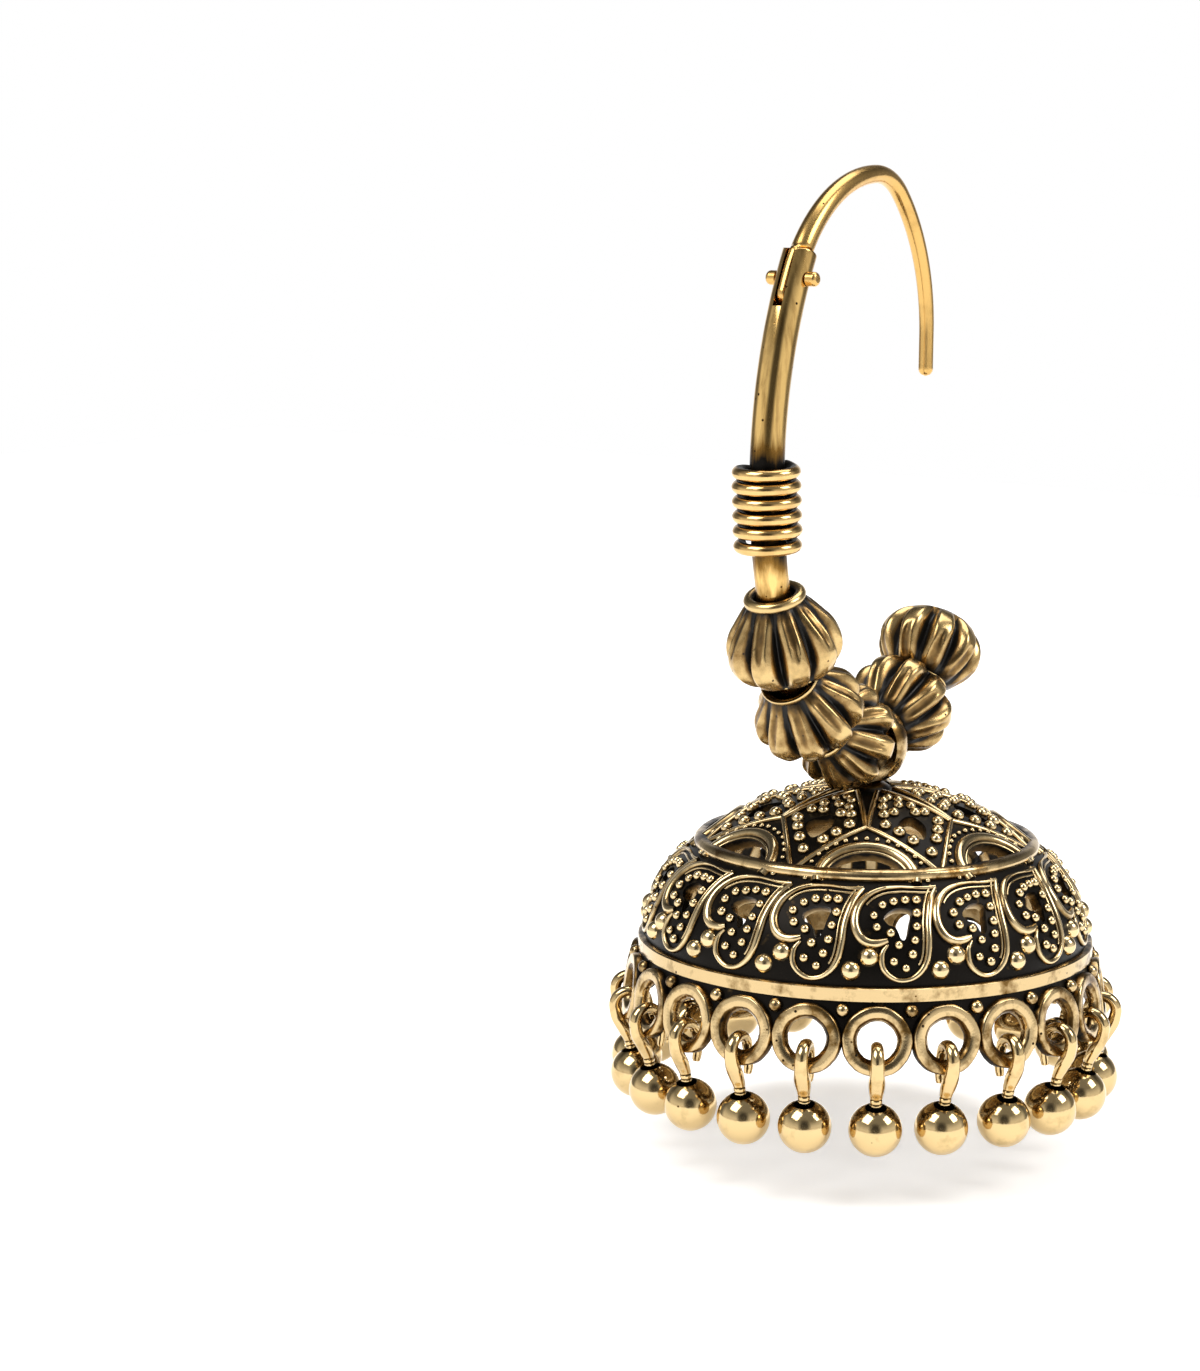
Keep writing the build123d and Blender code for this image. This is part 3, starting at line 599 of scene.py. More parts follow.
# ---------------------------------------------------------------- melon beads
class Collar(Enum):
    """Finish of a bead's end towards the hinge, by its rings of wire.

    A row is a ring's radius, its height, half the wire's thickness and the wire's corners.
    """

    ROLLED = ((1.53, 0.33, 0.34, 16),)
    DISHED = ()
    THIN = ((1.58, 0.17, 0.20, 14),)
    DOUBLE = ((1.55, 0.17, 0.19, 12), (1.62, 0.50, 0.18, 12))


@dataclass
class MelonBead:
    """A cast bead: a collar, then a bulb of rounded lobes with wide black valleys between them."""

    number: int
    run: float
    length: float
    radius: float
    collar: Collar
    spin: float = 0.0           # degrees that it has turned on the rod
    roundness: float = 0.0      # 0 for a pear's outline, 1 for a ball's
    bore_r: float = 1.30
    lobes: int = 9
    columns_per_lobe: int = 24
    bulb_at: float = 0.45
    hollow: float = 0.58        # round hollow in the bulb's end
    hollow_r: float = 1.98

    # share of the bulb's length, radius of the lobes and of the valleys as shares
    PROFILE = ((0.00, 0.475, 0.97), (0.05, 0.540, 0.93), (0.13, 0.640, 0.87), (0.25, 0.770, 0.80),
               (0.37, 0.885, 0.76), (0.50, 0.965, 0.74), (0.62, 1.000, 0.73), (0.74, 0.985, 0.74),
               (0.85, 0.915, 0.725), (0.93, 0.810, 0.765), (0.98, 0.715, 0.86), (1.00, 0.645, 0.95))
    BALL_SHARE = 0.80               # share of a ball's radius at which its outline is cut
    SLANT, UNEVEN = 0.03, 0.012     # spread of the lobes' slants and heights
    TOP, TOP_GAIN = 0.26, 0.12      # share of a lobe's half width that is its top, and its gain along it
    VALLEY, FALL = 0.93, 1.5        # share at which the valley lies, and the power of the fall to it
    FACET_HALF, FACET_LOSS = 0.36, 0.22     # half width of the facet, and its loss along it
    FACET_DEPTH = 0.13              # mm
    FACET_FROM, FACET_TO = (0.04, 0.14), (0.46, 0.60)   # shares of the length where it fades
    RIM_WIDE = 0.14                 # of the painted highlight line round the facet
    LOBE_WEAR_AND_LIGHT = (0.66, 0.12, 0.22, 0.24)        # wear of a lobe, plus a painted highlight at the rim and far end, and painted shade in the facet
    HOLLOW_WEAR = (0.6, 0.3, 0.3, 0.3)      # from the hollow's edge to the bore's far end

    def bulb(self, mould: Mould) -> None:
        """Add the lobed bulb, the hollow in its end and its bore.

        The radius at an angle is the lobe's radius times a share. The share is 1 on the lobe's
        top and falls along a power curve to the valley's share beside the next lobe. From the
        collar to the bulb's widest place each lobe has a shallow dished facet, whose depth is
        one minus the square of the distance from its middle.
        """
        outer = smooth_curve(np.array(self.PROFILE), 5)
        along, valley = outer[:, 0:1], outer[:, 2:3]
        ball = np.sqrt(1 - (self.BALL_SHARE * (2 * outer[:, 0] - 1.0)) ** 2)
        outer[:, 1] += (ball - outer[:, 1]) * self.roundness
        turn = np.arange(self.lobes * self.columns_per_lobe) / (self.lobes * self.columns_per_lobe)
        random = np.random.default_rng(20 + self.number)
        slants = np.resize(random.normal(0, self.SLANT, self.lobes), self.lobes + 1)
        slant = np.interp(turn * self.lobes, np.arange(self.lobes + 1), slants)
        tall = np.repeat(random.normal(1.0, self.UNEVEN, self.lobes), self.columns_per_lobe)
        across = np.abs((turn * self.lobes) % 1.0 - 0.5 + slant * 0.5)[None] * 2
        top = self.TOP + self.TOP_GAIN * step(0.3, 0.7, along)
        fall = np.clip((across - top) / (self.VALLEY - top), 0, 1) ** self.FALL
        facet_half = self.FACET_HALF - self.FACET_LOSS * step(0.25, 0.56, along)
        dish = np.clip(1 - (across / facet_half) ** 2, 0, 1)
        facet = dish * step(*self.FACET_FROM, along) * (1 - step(*self.FACET_TO, along))
        height = (1 - fall) * (tall[None] * 0.5 + 0.5)
        radius = self.radius * outer[:, 1:2] * (valley + (1 - valley) * height) - self.FACET_DEPTH * facet
        rim = np.exp(-((across - facet_half) / self.RIM_WIDE) ** 2) * (1 - step(*self.FACET_TO, along))
        # the lobe's wear, with a painted highlight along the facet's rim and over the far end, and painted
        # shade in the facet
        own, at_rim, at_end, in_facet = self.LOBE_WEAR_AND_LIGHT
        lobe_wear_and_light = own + at_rim * rim + at_end * step(0.42, 0.66, along) - in_facet * facet
        from_collar, to_end = step(0.0, 0.16, along), step(0.93, 1.0, along)
        wear_and_painted_light = step(0.18, 0.68, height) * lobe_wear_and_light * (0.25 + 0.75 * from_collar) * (1 - 0.7 * to_end)
        inside = np.array([(self.hollow_r, self.length), (self.hollow_r - 0.03, self.length - self.hollow),
                           (self.bore_r, self.length - self.hollow - 0.02), (self.bore_r, self.bulb_at)])
        radius = np.vstack([radius, np.repeat(inside[:, 0:1], len(turn), 1)])
        heights = np.concatenate([self.bulb_at + outer[:, 0] * (self.length - self.bulb_at), inside[:, 1]])
        wear_and_painted_light = np.vstack([wear_and_painted_light, np.repeat(np.array(self.HOLLOW_WEAR)[:, None], len(turn), 1)])
        angle = turn * 2 * math.pi + math.radians(self.spin)
        mould.rings(polar(radius, angle, heights[:, None]), wear_and_painted_light, loop=True)

    def collar_rings(self, mould: Mould) -> None:
        """Add the collar: its rings of wire, and the flare or the neck that goes with some."""
        for radius, height, wire, corners in self.collar.value:
            mould.lathe(round_profile(radius, height, wire, corners), 96, wear_of_ring(corners))
        if self.collar is Collar.ROLLED:
            mould.lathe(round_profile(self.hollow_r + 0.10, self.length - 0.04, 0.085, 8), 96, 1.0)
        if self.collar is Collar.DISHED:
            mould.lathe(np.array([[1.32, 0.30], [1.42, 0.10], [1.70, -0.04], [1.80, -0.03], [1.84, 0.05],
                                  [1.78, 0.24], [1.60, 0.50], [1.34, 0.62]]), 96,
                        [0.5, 0.65, 0.9, 1, 1, 0.7, 0.3, 0.1])
        if self.collar is Collar.THIN:
            mould.lathe(np.array([[1.31, 0.2], [1.55, 0.2], [1.50, 0.6], [1.31, 0.6]]), 72, 0.1)

    def build(self, line: HoopLine, dresser: Dresser) -> None:
        """Build the bead on the rod."""
        mould = Mould()
        self.bulb(mould)
        self.collar_rings(mould)
        centred = line.place(self.run, self.length)
        start = np.array(centred.origin) - np.array(centred.z) * self.length / 2
        place = Place(tuple(start), centred.x, centred.y, centred.z)
        piece = mould.piece("melon_bead_%d" % self.number, place)
        dresser.dress(piece, dresser.finishes.bead, "hoop", "antiqued_brass", "bead_%d" % self.number)


def melon_beads() -> list[MelonBead]:
    """The five beads by number: on each side of the bail each starts a gap after the one before.

    A row is a bead's number, length, radius, collar, spin and, where it has one, roundness.
    """
    gap, hinge_clear, far_clear = 0.35, 1.43, 1.15
    hinge_side = ((3, 4.25, 3.35, Collar.THIN, 8.0), (2, 4.75, 3.42, Collar.DISHED, 24.0),
                  (1, 5.35, 3.48, Collar.ROLLED, 3.0))
    far_side = ((4, 4.75, 3.35, Collar.THIN, 15.0, 0.35), (5, 4.60, 3.30, Collar.DOUBLE, 30.0, 0.8))
    beads = []
    for side, edge, rows in ((-1, hinge_clear, hinge_side), (1, far_clear, far_side)):
        for number, length, *rest in rows:
            beads.append(MelonBead(number, side * (edge + length / 2), length, *rest))
            edge += length + gap
    return sorted(beads, key=lambda bead: bead.number)


def round_profile(radius: float, height: float, wire: float, corners: int) -> Array:
    """Round (radius, height) profile of a ring of wire."""
    angle = angles_round(corners)
    return np.stack([radius + wire * np.cos(angle), height + wire * np.sin(angle)], -1)


def wear_of_ring(corners: int) -> Array:
    """Wear of a ring's profile: polished outside, patina towards its axis."""
    return step(-1.0, 0.1, np.cos(angles_round(corners)))


# ---------------------------------------------------------------- the dome's surface
@dataclass(frozen=True)
class DomeForm:
    """Outer surface of the dome: a drum arc below, a shallow spherical crown above."""

    drum_x: float = 6.35
    drum_r: float = 7.35
    cap_r: float = 16.9
    cap_z: float = -7.2
    join_z: float = 6.3

    def drum(self, x: Array, y: Array, lift: Array | float) -> tuple[Array, Array]:
        """Points and outward normals of the drum.

        Args:
            x: mm round the dome from the motif's middle. y: mm up the profile from the lower band.
            lift: mm proud of the surface.

        Returns:
            Points and normals, with the motif's middle on the X axis.
        """
        rise = y / self.drum_r
        around = x / (self.drum_x + self.drum_r * np.cos(rise))
        radius = self.drum_x + (self.drum_r + lift) * np.cos(rise)
        points = polar(radius, around, (self.drum_r + lift) * np.sin(rise))
        return points, polar(np.cos(rise), around, np.sin(rise))

    def crown(self, x: Array, y: Array, lift: Array | float) -> tuple[Array, Array]:
        """Points and outward normals of the crown.

        Args:
            x, y: mm on the crown rolled out flat round its top, x across and y away from the top.
            lift: mm proud of the surface.

        Returns:
            Points and normals, with the y direction on the X axis.
        """
        tilt = np.hypot(x, y) / self.cap_r
        normals = polar(np.sin(tilt), np.arctan2(x, y), np.cos(tilt))
        points = normals * (self.cap_r + np.broadcast_to(lift, tilt.shape)[..., None])
        return points + np.array([0, 0, self.cap_z]), normals

    def crown_xy(self, table: Array) -> Array:
        """Flat crown places of (degrees, radius) rows."""
        reach = self.cap_r * np.arcsin(table[:, 1] / self.cap_r)
        angle = np.radians(table[:, 0])
        return np.stack([reach * np.sin(angle), reach * np.cos(angle)], -1)


NEAR = 0.72         # share of the grid's spacing within which a place moves on to an outline
SKEW = 0.7          # how far a slanted grid's rows count towards that spacing
SLIVER = 1e-5       # twice the area in square mm under which a triangle is left out
EDGE_WEAR = 0.03    # of the dark ground round the raised work


def pierced(mould: Mould, surface: Surface, x: Array, y: Array, holes: list[Array], thick: float,
            turns: Array, inner_wear_and_light: Array | float = 0.62) -> None:
    """Add a wall with holes, copied at several turns about Z.

    A grid of places is laid over the panel. Each place within reach of a hole's outline is
    moved on to it, the triangles whose middle lies in a hole are left out, and the outer and
    inner faces are joined by a strip along every open edge.

    Args:
        mould: what it is added to.
        surface: the drum, the crown or another surface.
        x, y: grids of the panel's places.
        holes: closed outlines.
        thick: wall thickness. turns: degrees of each copy.
        inner_wear_and_light: wear of the inner face, and on the drum painted light, one value or one for each
            place.
    """
    flat = np.stack([x.ravel(), y.ravel()], -1)
    reach = NEAR * max(np.abs(np.diff(x, axis=1)).max(), np.abs(np.diff(y, axis=0)).max(),
                       np.abs(np.diff(x, axis=0)).max() * SKEW)
    for outline in holes:
        gap, nearest = edge_distance(flat, outline)
        flat = np.where((np.abs(gap) < reach)[:, None], nearest, flat)
    triangles = grid_triangles(*x.shape, False, False)
    middle = flat[triangles].mean(1)
    kept = np.ones(len(triangles), bool)
    for outline in holes:
        gap, _ = edge_distance(middle, outline)
        kept &= gap > 0
    corners = flat[triangles]
    span_a, span_b = corners[:, 1] - corners[:, 0], corners[:, 2] - corners[:, 0]
    kept &= np.abs(span_a[:, 0] * span_b[:, 1] - span_a[:, 1] * span_b[:, 0]) > SLIVER
    triangles = triangles[kept]
    outer, normals = surface(flat[:, 0], flat[:, 1], 0.0)
    inner, _ = surface(flat[:, 0], flat[:, 1], -thick)
    corners = outer[triangles]
    facing = np.einsum("ij,ij->i", np.cross(corners[:, 1] - corners[:, 0], corners[:, 2] - corners[:, 0]),
                       normals[triangles[:, 0]])
    triangles = np.where((facing > 0)[:, None], triangles, triangles[:, ::-1])
    edges = np.concatenate([triangles[:, [0, 1]], triangles[:, [1, 2]], triangles[:, [2, 0]]])
    key = np.sort(edges, 1)
    _, first, count = np.unique(key[:, 0] * len(flat) + key[:, 1], return_index=True, return_counts=True)
    rim = edges[first[count == 1]]
    size = len(flat)
    wall = np.concatenate([np.stack([rim[:, 1], rim[:, 0], rim[:, 0] + size], -1),
                           np.stack([rim[:, 1], rim[:, 0] + size, rim[:, 1] + size], -1)])
    faces = np.concatenate([triangles, triangles[:, ::-1] + size, wall])
    points = np.vstack([outer, inner])
    used, place = np.unique(faces, return_inverse=True)
    faces, points = place.reshape(-1, 3), points[used]
    wear_and_painted_light = np.concatenate([np.full(size, EDGE_WEAR), np.broadcast_to(inner_wear_and_light, size)])[used]
    for turn in turns:
        mould.add(turned(points, turn), faces, wear_and_painted_light)


@dataclass(frozen=True)
class Grain:
    """A kind of granule, in mm: lift of its middle over the surface, spread of its places, radii."""

    lift: float
    spread: float
    least: float
    most: float
    columns: int = 12
    rows: int = 8
    dark_below: float = 0.15

    def lay(self, mould: Mould, surface: Surface, spots: Array, turn: float, random: np.random.Generator,
            size: Array | float = 1.0) -> None:
        """Add one at each spot.

        Args:
            mould: what they are added to. surface: drum or crown.
            spots: (n, 2) places on the surface.
            turn: degrees about Z. random: where the spread and the radii come from.
            size: share of its radius that each one gets.
        """
        if self.spread:
            spots = spots + random.normal(0, self.spread, spots.shape)
        points, normals = surface(spots[:, 0], spots[:, 1], self.lift)
        radii = random.uniform(self.least, self.most, len(spots)) * size
        mould.balls(turned(points, turn), turned(normals, turn), radii, self.columns, self.rows,
                    self.dark_below)


@dataclass
class Dome:
    """The pierced bell: walls, raised lines and granules, bands, skirt and bail, soldered into one."""

    form: DomeForm = field(default_factory=DomeForm)
    origin: tuple[float, float, float] = (0.35, 0.0, -46.55)
    view_turn: float = 211.1
    wall: float = 0.7
    cell: float = 0.17          # grid spacing of the walls
    drum_panel: float = 5.2     # width in mm of one leaf's panel, for its grid
    crown_panel: float = 9.2    # and of one kite's
    arches: int = 7
    motifs: int = 16
    rings: int = 22
    ring_turn: float = 3.1
    band_r: float = 14.05
    band_half: float = 0.45
    brow_r: float = 10.65       # upper band
    brow_half: float = 0.37

    # leaf motif: mm round the dome, mm up the profile, half width and height of the line
    STEM = ((1.99, 6.50, 0.10, 0.20), (1.62, 5.80, 0.16, 0.30), (1.40, 5.05, 0.17, 0.32),
            (1.24, 4.10, 0.17, 0.32), (1.20, 3.10, 0.17, 0.32), (1.07, 2.15, 0.16, 0.32),
            (0.72, 1.42, 0.15, 0.30), (0.10, 0.93, 0.13, 0.28), (-0.64, 0.83, 0.13, 0.28),
            (-1.25, 1.12, 0.14, 0.30), (-1.62, 1.65, 0.15, 0.30), (-1.60, 2.42, 0.13, 0.28),
            (-1.25, 2.92, 0.07, 0.20))
    LOBE = ((-1.26, 3.17, 0.14, 0.24), (-1.75, 3.02, 0.21, 0.34), (-2.35, 3.02, 0.23, 0.36),
            (-2.86, 3.36, 0.24, 0.37), (-3.10, 4.05, 0.24, 0.38), (-2.97, 4.85, 0.22, 0.37),
            (-2.55, 5.58, 0.19, 0.35), (-1.90, 6.17, 0.15, 0.32), (-1.12, 6.50, 0.11, 0.28),
            (-0.20, 6.60, 0.08, 0.22), (0.60, 6.55, 0.08, 0.20), (1.30, 6.50, 0.10, 0.22),
            (1.99, 6.52, 0.12, 0.24))
    LEAF_GRAINS = ((0.68, 5.63), (0.02, 5.68), (-0.67, 5.59), (-1.36, 5.30), (-1.92, 4.68), (-1.84, 3.93),
                   (-1.05, 3.63), (-0.62, 2.86), (-0.92, 1.94), (-0.20, 1.58), (0.22, 2.34), (0.38, 3.14),
                   (0.50, 3.97), (0.66, 4.80))
    LEAF_HOLE = ((-1.35, 4.62), (-0.62, 5.16), (0.30, 5.06), (0.17, 4.27), (-0.08, 3.36), (-0.42, 3.22),
                 (-0.70, 3.92), (-1.15, 4.14))
    PEARLS = ((1.84, 1.36), (2.86, 2.18))

    # crown, as (degrees from the panel's middle, radius) rows
    KITE = ((0.0, 10.25), (25.2, 6.50), (23.4, 5.1), (17.0, 3.0), (5.5, 1.7))
    KITE_GRAINS = ((0.2, 8.72), (5.9, 7.80), (-4.9, 7.80), (10.6, 7.08), (-9.8, 7.05), (15.8, 6.33),
                   (-15.8, 6.30), (15.2, 5.25), (-14.9, 5.2), (11.5, 4.35), (-12.2, 4.28), (1.5, 4.1),
                   (-6.0, 4.98), (8.5, 5.20), (9.5, 3.35), (-9.5, 3.30), (0.4, 2.9))
    KITE_HOLE = ((-9.0, 6.43), (-2.0, 5.50), (5.0, 5.52), (6.5, 6.58), (1.2, 7.63), (-4.0, 7.23))
    RIM_GRAINS = 17
    ARCH_HALF = 3.20            # half width of the arch's raised rim, on its middle line
    ARCH_TOP = 8.15             # radius of its top
    ARCH_FOOT = 10.35
    WINDOW_HALF = 2.75
    WINDOW_TOP = 8.55

    def place(self) -> Place:
        """The dome's own axes in the row's frame, turned to its front."""
        axes = rotation(2, self.view_turn)
        return Place(self.origin, tuple(axes[0]), tuple(axes[1]))

    # walls
    RIBS, RIB_TOP = 3, (4.0, 5.0)       # painted light on the inner face: bright bars in each leaf, and the heights where they give way to an evenly bright upper part

    def drum_wall(self) -> Mould:
        """The drum's wall, pierced in each leaf, with painted light on its inner face."""
        mould = Mould()
        form = self.form
        top = form.drum_r * math.asin(form.join_z / form.drum_r)
        y = np.linspace(-0.35, top, int(top / self.cell) + 3)
        share = np.linspace(-0.5, 0.5, int(self.drum_panel / self.cell) + 2)
        y, share = np.meshgrid(y, share, indexing="ij")
        x = share * math.radians(360 / self.motifs) * (form.drum_x + form.drum_r * np.cos(y / form.drum_r))
        hole = smooth_curve(np.array(self.LEAF_HOLE), 6, True)
        # painted light on the inner face: dark with bright bars low down, evenly bright higher up
        painted_light_bars = step(-0.2, 0.6, np.sin(share * 2 * math.pi * self.RIBS))
        upper = step(*self.RIB_TOP, y)
        wear_and_painted_light = 0.85 * upper + (0.04 + 0.8 * painted_light_bars) * (1 - upper)
        pierced(mould, form.drum, x, y, [hole], self.wall, even_turns(self.motifs, 0.5), wear_and_painted_light.ravel())
        return mould

    def crown_wall(self) -> Mould:
        """The crown's wall, with its kite holes and arched windows."""
        mould = Mould()
        half = 180 / self.arches
        foot = self.form.cap_r * math.acos((self.form.join_z - self.form.cap_z) / self.form.cap_r)
        reach = np.linspace(0.6, foot, int(foot / self.cell) + 2)
        angle = np.radians(np.linspace(-half, half, int(self.crown_panel / self.cell) + 2))
        reach, angle = np.meshgrid(reach, angle, indexing="ij")
        kite = smooth_curve(self.form.crown_xy(np.array(self.KITE_HOLE)), 6, True)
        window = self.arch_line(self.WINDOW_HALF, self.WINDOW_TOP)
        right, left = [window @ rotation(2, turn)[:2, :2] for turn in (-half, half)]
        pierced(mould, self.form.crown, reach * np.sin(angle), reach * np.cos(angle), [kite, right, left],
                self.wall, even_turns(self.arches, 0.5))
        return mould

    def arch_line(self, half: float, top: float, samples: int = 40) -> Array:
        """Half an ellipse on the flat crown, from foot to foot over its top.

        Across it is the half width times the sine of an angle, and towards the top of the dome it
        falls from the foot by the rise times the cosine.
        """
        angle = np.linspace(-math.pi / 2, math.pi / 2, samples)
        foot = self.form.cap_r * math.asin(self.ARCH_FOOT / self.form.cap_r)
        high = self.form.cap_r * math.asin(top / self.form.cap_r)
        return np.stack([half * np.sin(angle), foot - (foot - high) * np.cos(angle)], -1)

    # raised work
    def line(self, mould: Mould, surface: Surface, rows: Array, turn: float, offset: float = 0.0,
             scale: float = 1.0) -> None:
        """Add one raised line.

        Args:
            mould: what it is added to. surface: drum or crown.
            rows: sampled (x, y, half width, height) rows.
            turn: degrees about Z. offset: mm to the side of the rows. scale: of the half width.
        """
        ahead = unit(np.gradient(rows[:, :2], axis=0))
        x = rows[:, 0] - offset * ahead[:, 1]
        y = rows[:, 1] + offset * ahead[:, 0]
        points, normals = surface(x, y, -0.02)
        mould.tube(turned(points, turn), turned(normals, turn), rows[:, 2] * scale, rows[:, 3] * 0.8, 10,
                   sink=0.5)

    def even_line(self, mould: Mould, path: Array, size: tuple[float, float], turn: float) -> None:
        """Add a raised line of one half width and height along (x, y) places of the crown."""
        self.line(mould, self.form.crown, np.column_stack([path, np.tile(size, (len(path), 1))]), turn)

    # half widths and heights of lines, in mm, and the broad leaf lines' widths as shares
    THIN_LINE, THIN_OFFSET = (0.08, 0.15), -0.33
    KITE_LINE, RIM_LINE, INNER_LINE = (0.20, 0.3), (0.36, 0.42), (0.10, 0.14)
    LOBE_SCALE, STEM_SCALE = 1.3, 1.4

    LEAF_GRAIN, PEARL = Grain(0.06, 0.03, 0.265, 0.31), Grain(-0.17, 0, 0.60, 0.64, 24, 16, -0.1)
    KITE_GRAIN, RIM_GRAIN = Grain(0.03, 0.04, 0.38, 0.42, 16, 10), Grain(0.06, 0.02, 0.145, 0.18, 10, 8)
    RIM_ROW = (0.72, 0.62)      # how far the fine row lies outside the arch's rim, across and towards the top
    RIM_ROW_END = 0.45          # and from its ends to its first and last granules
    SMALLEST, SMALL_UNDER = 0.74, (3.0, 6.5)    # share of a kite's granules near the top, and where it ends

    def drum_lines(self) -> Mould:
        """Leaf outlines: one broad line, and a thin one inside it."""
        mould = Mould()
        lobe = smooth_curve(np.array(self.LOBE), 5)
        stem = smooth_curve(np.array(self.STEM), 5)
        for turn in even_turns(self.motifs, 0.5):
            self.line(mould, self.form.drum, lobe, turn, scale=self.LOBE_SCALE)
            self.line(mould, self.form.drum, stem, turn, scale=self.STEM_SCALE)
            for rows in (lobe[30:], stem[:30]):
                thin = rows.copy()
                thin[:, 2:] = self.THIN_LINE
                self.line(mould, self.form.drum, thin, turn, offset=self.THIN_OFFSET)
        return mould

    def drum_grains(self) -> Mould:
        """Granules inside each leaf, and the two pearls beside it."""
        mould = Mould()
        grains, pearls = np.array(self.LEAF_GRAINS), np.array(self.PEARLS)
        random = np.random.default_rng(7)
        for turn in even_turns(self.motifs, 0.5):
            self.LEAF_GRAIN.lay(mould, self.form.drum, grains, turn, random)
            self.PEARL.lay(mould, self.form.drum, pearls, turn, random)
        return mould

    def crown_lines(self) -> Mould:
        """Kite outlines and the arches' rims."""
        mould = Mould()
        kite = self.form.crown_xy(np.array(self.KITE))
        inner = self.arch_line(self.WINDOW_HALF + 0.02, self.WINDOW_TOP)
        rim = self.arch_line(self.ARCH_HALF, self.ARCH_TOP)
        share = np.linspace(0, 1, 12)[:, None]
        for turn, arch_turn in zip(even_turns(self.arches, 0.5), even_turns(self.arches)):
            for side in (-1, 1):
                knots = kite * [side, 1]
                self.even_line(mould, knots[0] + (knots[1] - knots[0]) * share, self.KITE_LINE, turn)
                self.even_line(mould, smooth_curve(knots[1:], 4), self.KITE_LINE, turn)
            self.even_line(mould, rim, self.RIM_LINE, arch_turn)
            self.even_line(mould, inner, self.INNER_LINE, arch_turn)
        return mould

    def crown_grains(self) -> Mould:
        """Granules of the kites, smaller towards the dome's top, and the fine row over each arch."""
        mould = Mould()
        crown, half = self.form.crown, 180 / self.arches
        random = np.random.default_rng(11)
        spots = self.form.crown_xy(np.array(self.KITE_GRAINS))
        size = self.SMALLEST + (1 - self.SMALLEST) * step(*self.SMALL_UNDER, np.linalg.norm(spots, axis=1))
        row = self.arch_line(self.ARCH_HALF + self.RIM_ROW[0], self.ARCH_TOP - self.RIM_ROW[1], 200)
        run = lengths(row)
        even = np.linspace(self.RIM_ROW_END, run[-1] - self.RIM_ROW_END, self.RIM_GRAINS)
        row = np.stack([np.interp(even, run, row[:, 0]), np.interp(even, run, row[:, 1])], -1)
        for turn in even_turns(self.arches, 0.5):
            self.KITE_GRAIN.lay(mould, crown, spots, turn, random, size)
            self.RIM_GRAIN.lay(mould, crown, row, turn - half, random)
        return mould

    def bands(self) -> Mould:
        """The lower band, flat and bevelled, and the rounder upper band."""
        mould = Mould()
        r, h = self.band_r, self.band_half
        mould.lathe(np.array([[r - 0.7, -h], [r - 0.10, -h], [r, -h + 0.08], [r + 0.01, 0.0],
                              [r, h - 0.08], [r - 0.10, h], [r - 0.7, h]]), 320,
                    [0.1, 0.5, 1, 1, 1, 0.6, 0.1], wobble=0.014)
        r, h, z = self.brow_r, self.brow_half, self.form.join_z
        mould.lathe(np.array([[r - 0.6, z - h], [r - 0.16, z - h], [r - 0.02, z - h * 0.5], [r, z],
                              [r - 0.07, z + h * 0.55], [r - 0.25, z + h], [r - 0.7, z + h]]), 320,
                    [0.1, 0.5, 1, 1, 1, 0.8, 0.2], wobble=0.012)
        return mould

    # skirt
    SKIRT_LEAN = 8.0            # degrees outward of the rings
    RING_CENTRE_R = 14.45
    RING_Z = -2.62
    RING_OUTER_R = 2.10
    RING_HOLE_R = 1.22
    STRIP_TOP_R = 13.75
    GRAIN_Z = -0.90
    GRAIN_R = 0.42

    def skirt_strip(self) -> Mould:
        """Dark strip under the lower band, cut away by the rings' holes."""
        mould = Mould()
        lean = math.radians(self.SKIRT_LEAN)
        top, low = -0.2, self.RING_Z - 0.1
        foot_r = self.RING_CENTRE_R - (low - self.RING_Z) * math.tan(lean)
        pitch = math.radians(360 / self.rings)

        def cone(x: Array, y: Array, lift: Array | float) -> tuple[Array, Array]:
            """Points and normals of the strip: x is the way round it, y the height."""
            radius = self.STRIP_TOP_R + (foot_r - self.STRIP_TOP_R) * (top - y) / (top - low)
            around = x / self.RING_CENTRE_R
            normals = polar(np.cos(lean), around, np.sin(lean))
            return polar(radius, around, y) + normals * (lift + 0.12), normals

        y, share = np.meshgrid(np.linspace(low, top, 14), np.linspace(-0.5, 0.5, 22), indexing="ij")
        angle = np.linspace(0, 2 * math.pi, 48, endpoint=False)
        hole_r = self.RING_HOLE_R + 0.2
        hole = np.stack([hole_r * np.cos(angle), self.RING_Z + hole_r * np.sin(angle)], -1)
        pierced(mould, cone, share * pitch * self.RING_CENTRE_R, y, [hole], 0.3,
                self.ring_turn + even_turns(self.rings))
        return mould

    def ring_frame(self, index: int) -> Place:
        """Axes of one ring: x round the dome, y up it and z outward."""
        turn = math.radians(self.ring_turn + 360 / self.rings * index)
        lean = math.radians(self.SKIRT_LEAN)
        outward = (math.cos(lean) * math.cos(turn), math.cos(lean) * math.sin(turn), math.sin(lean))
        across = (-math.sin(turn), math.cos(turn), 0.0)
        return Place((self.RING_CENTRE_R * math.cos(turn), self.RING_CENTRE_R * math.sin(turn), self.RING_Z),
                     across, tuple(np.cross(outward, across)), outward)

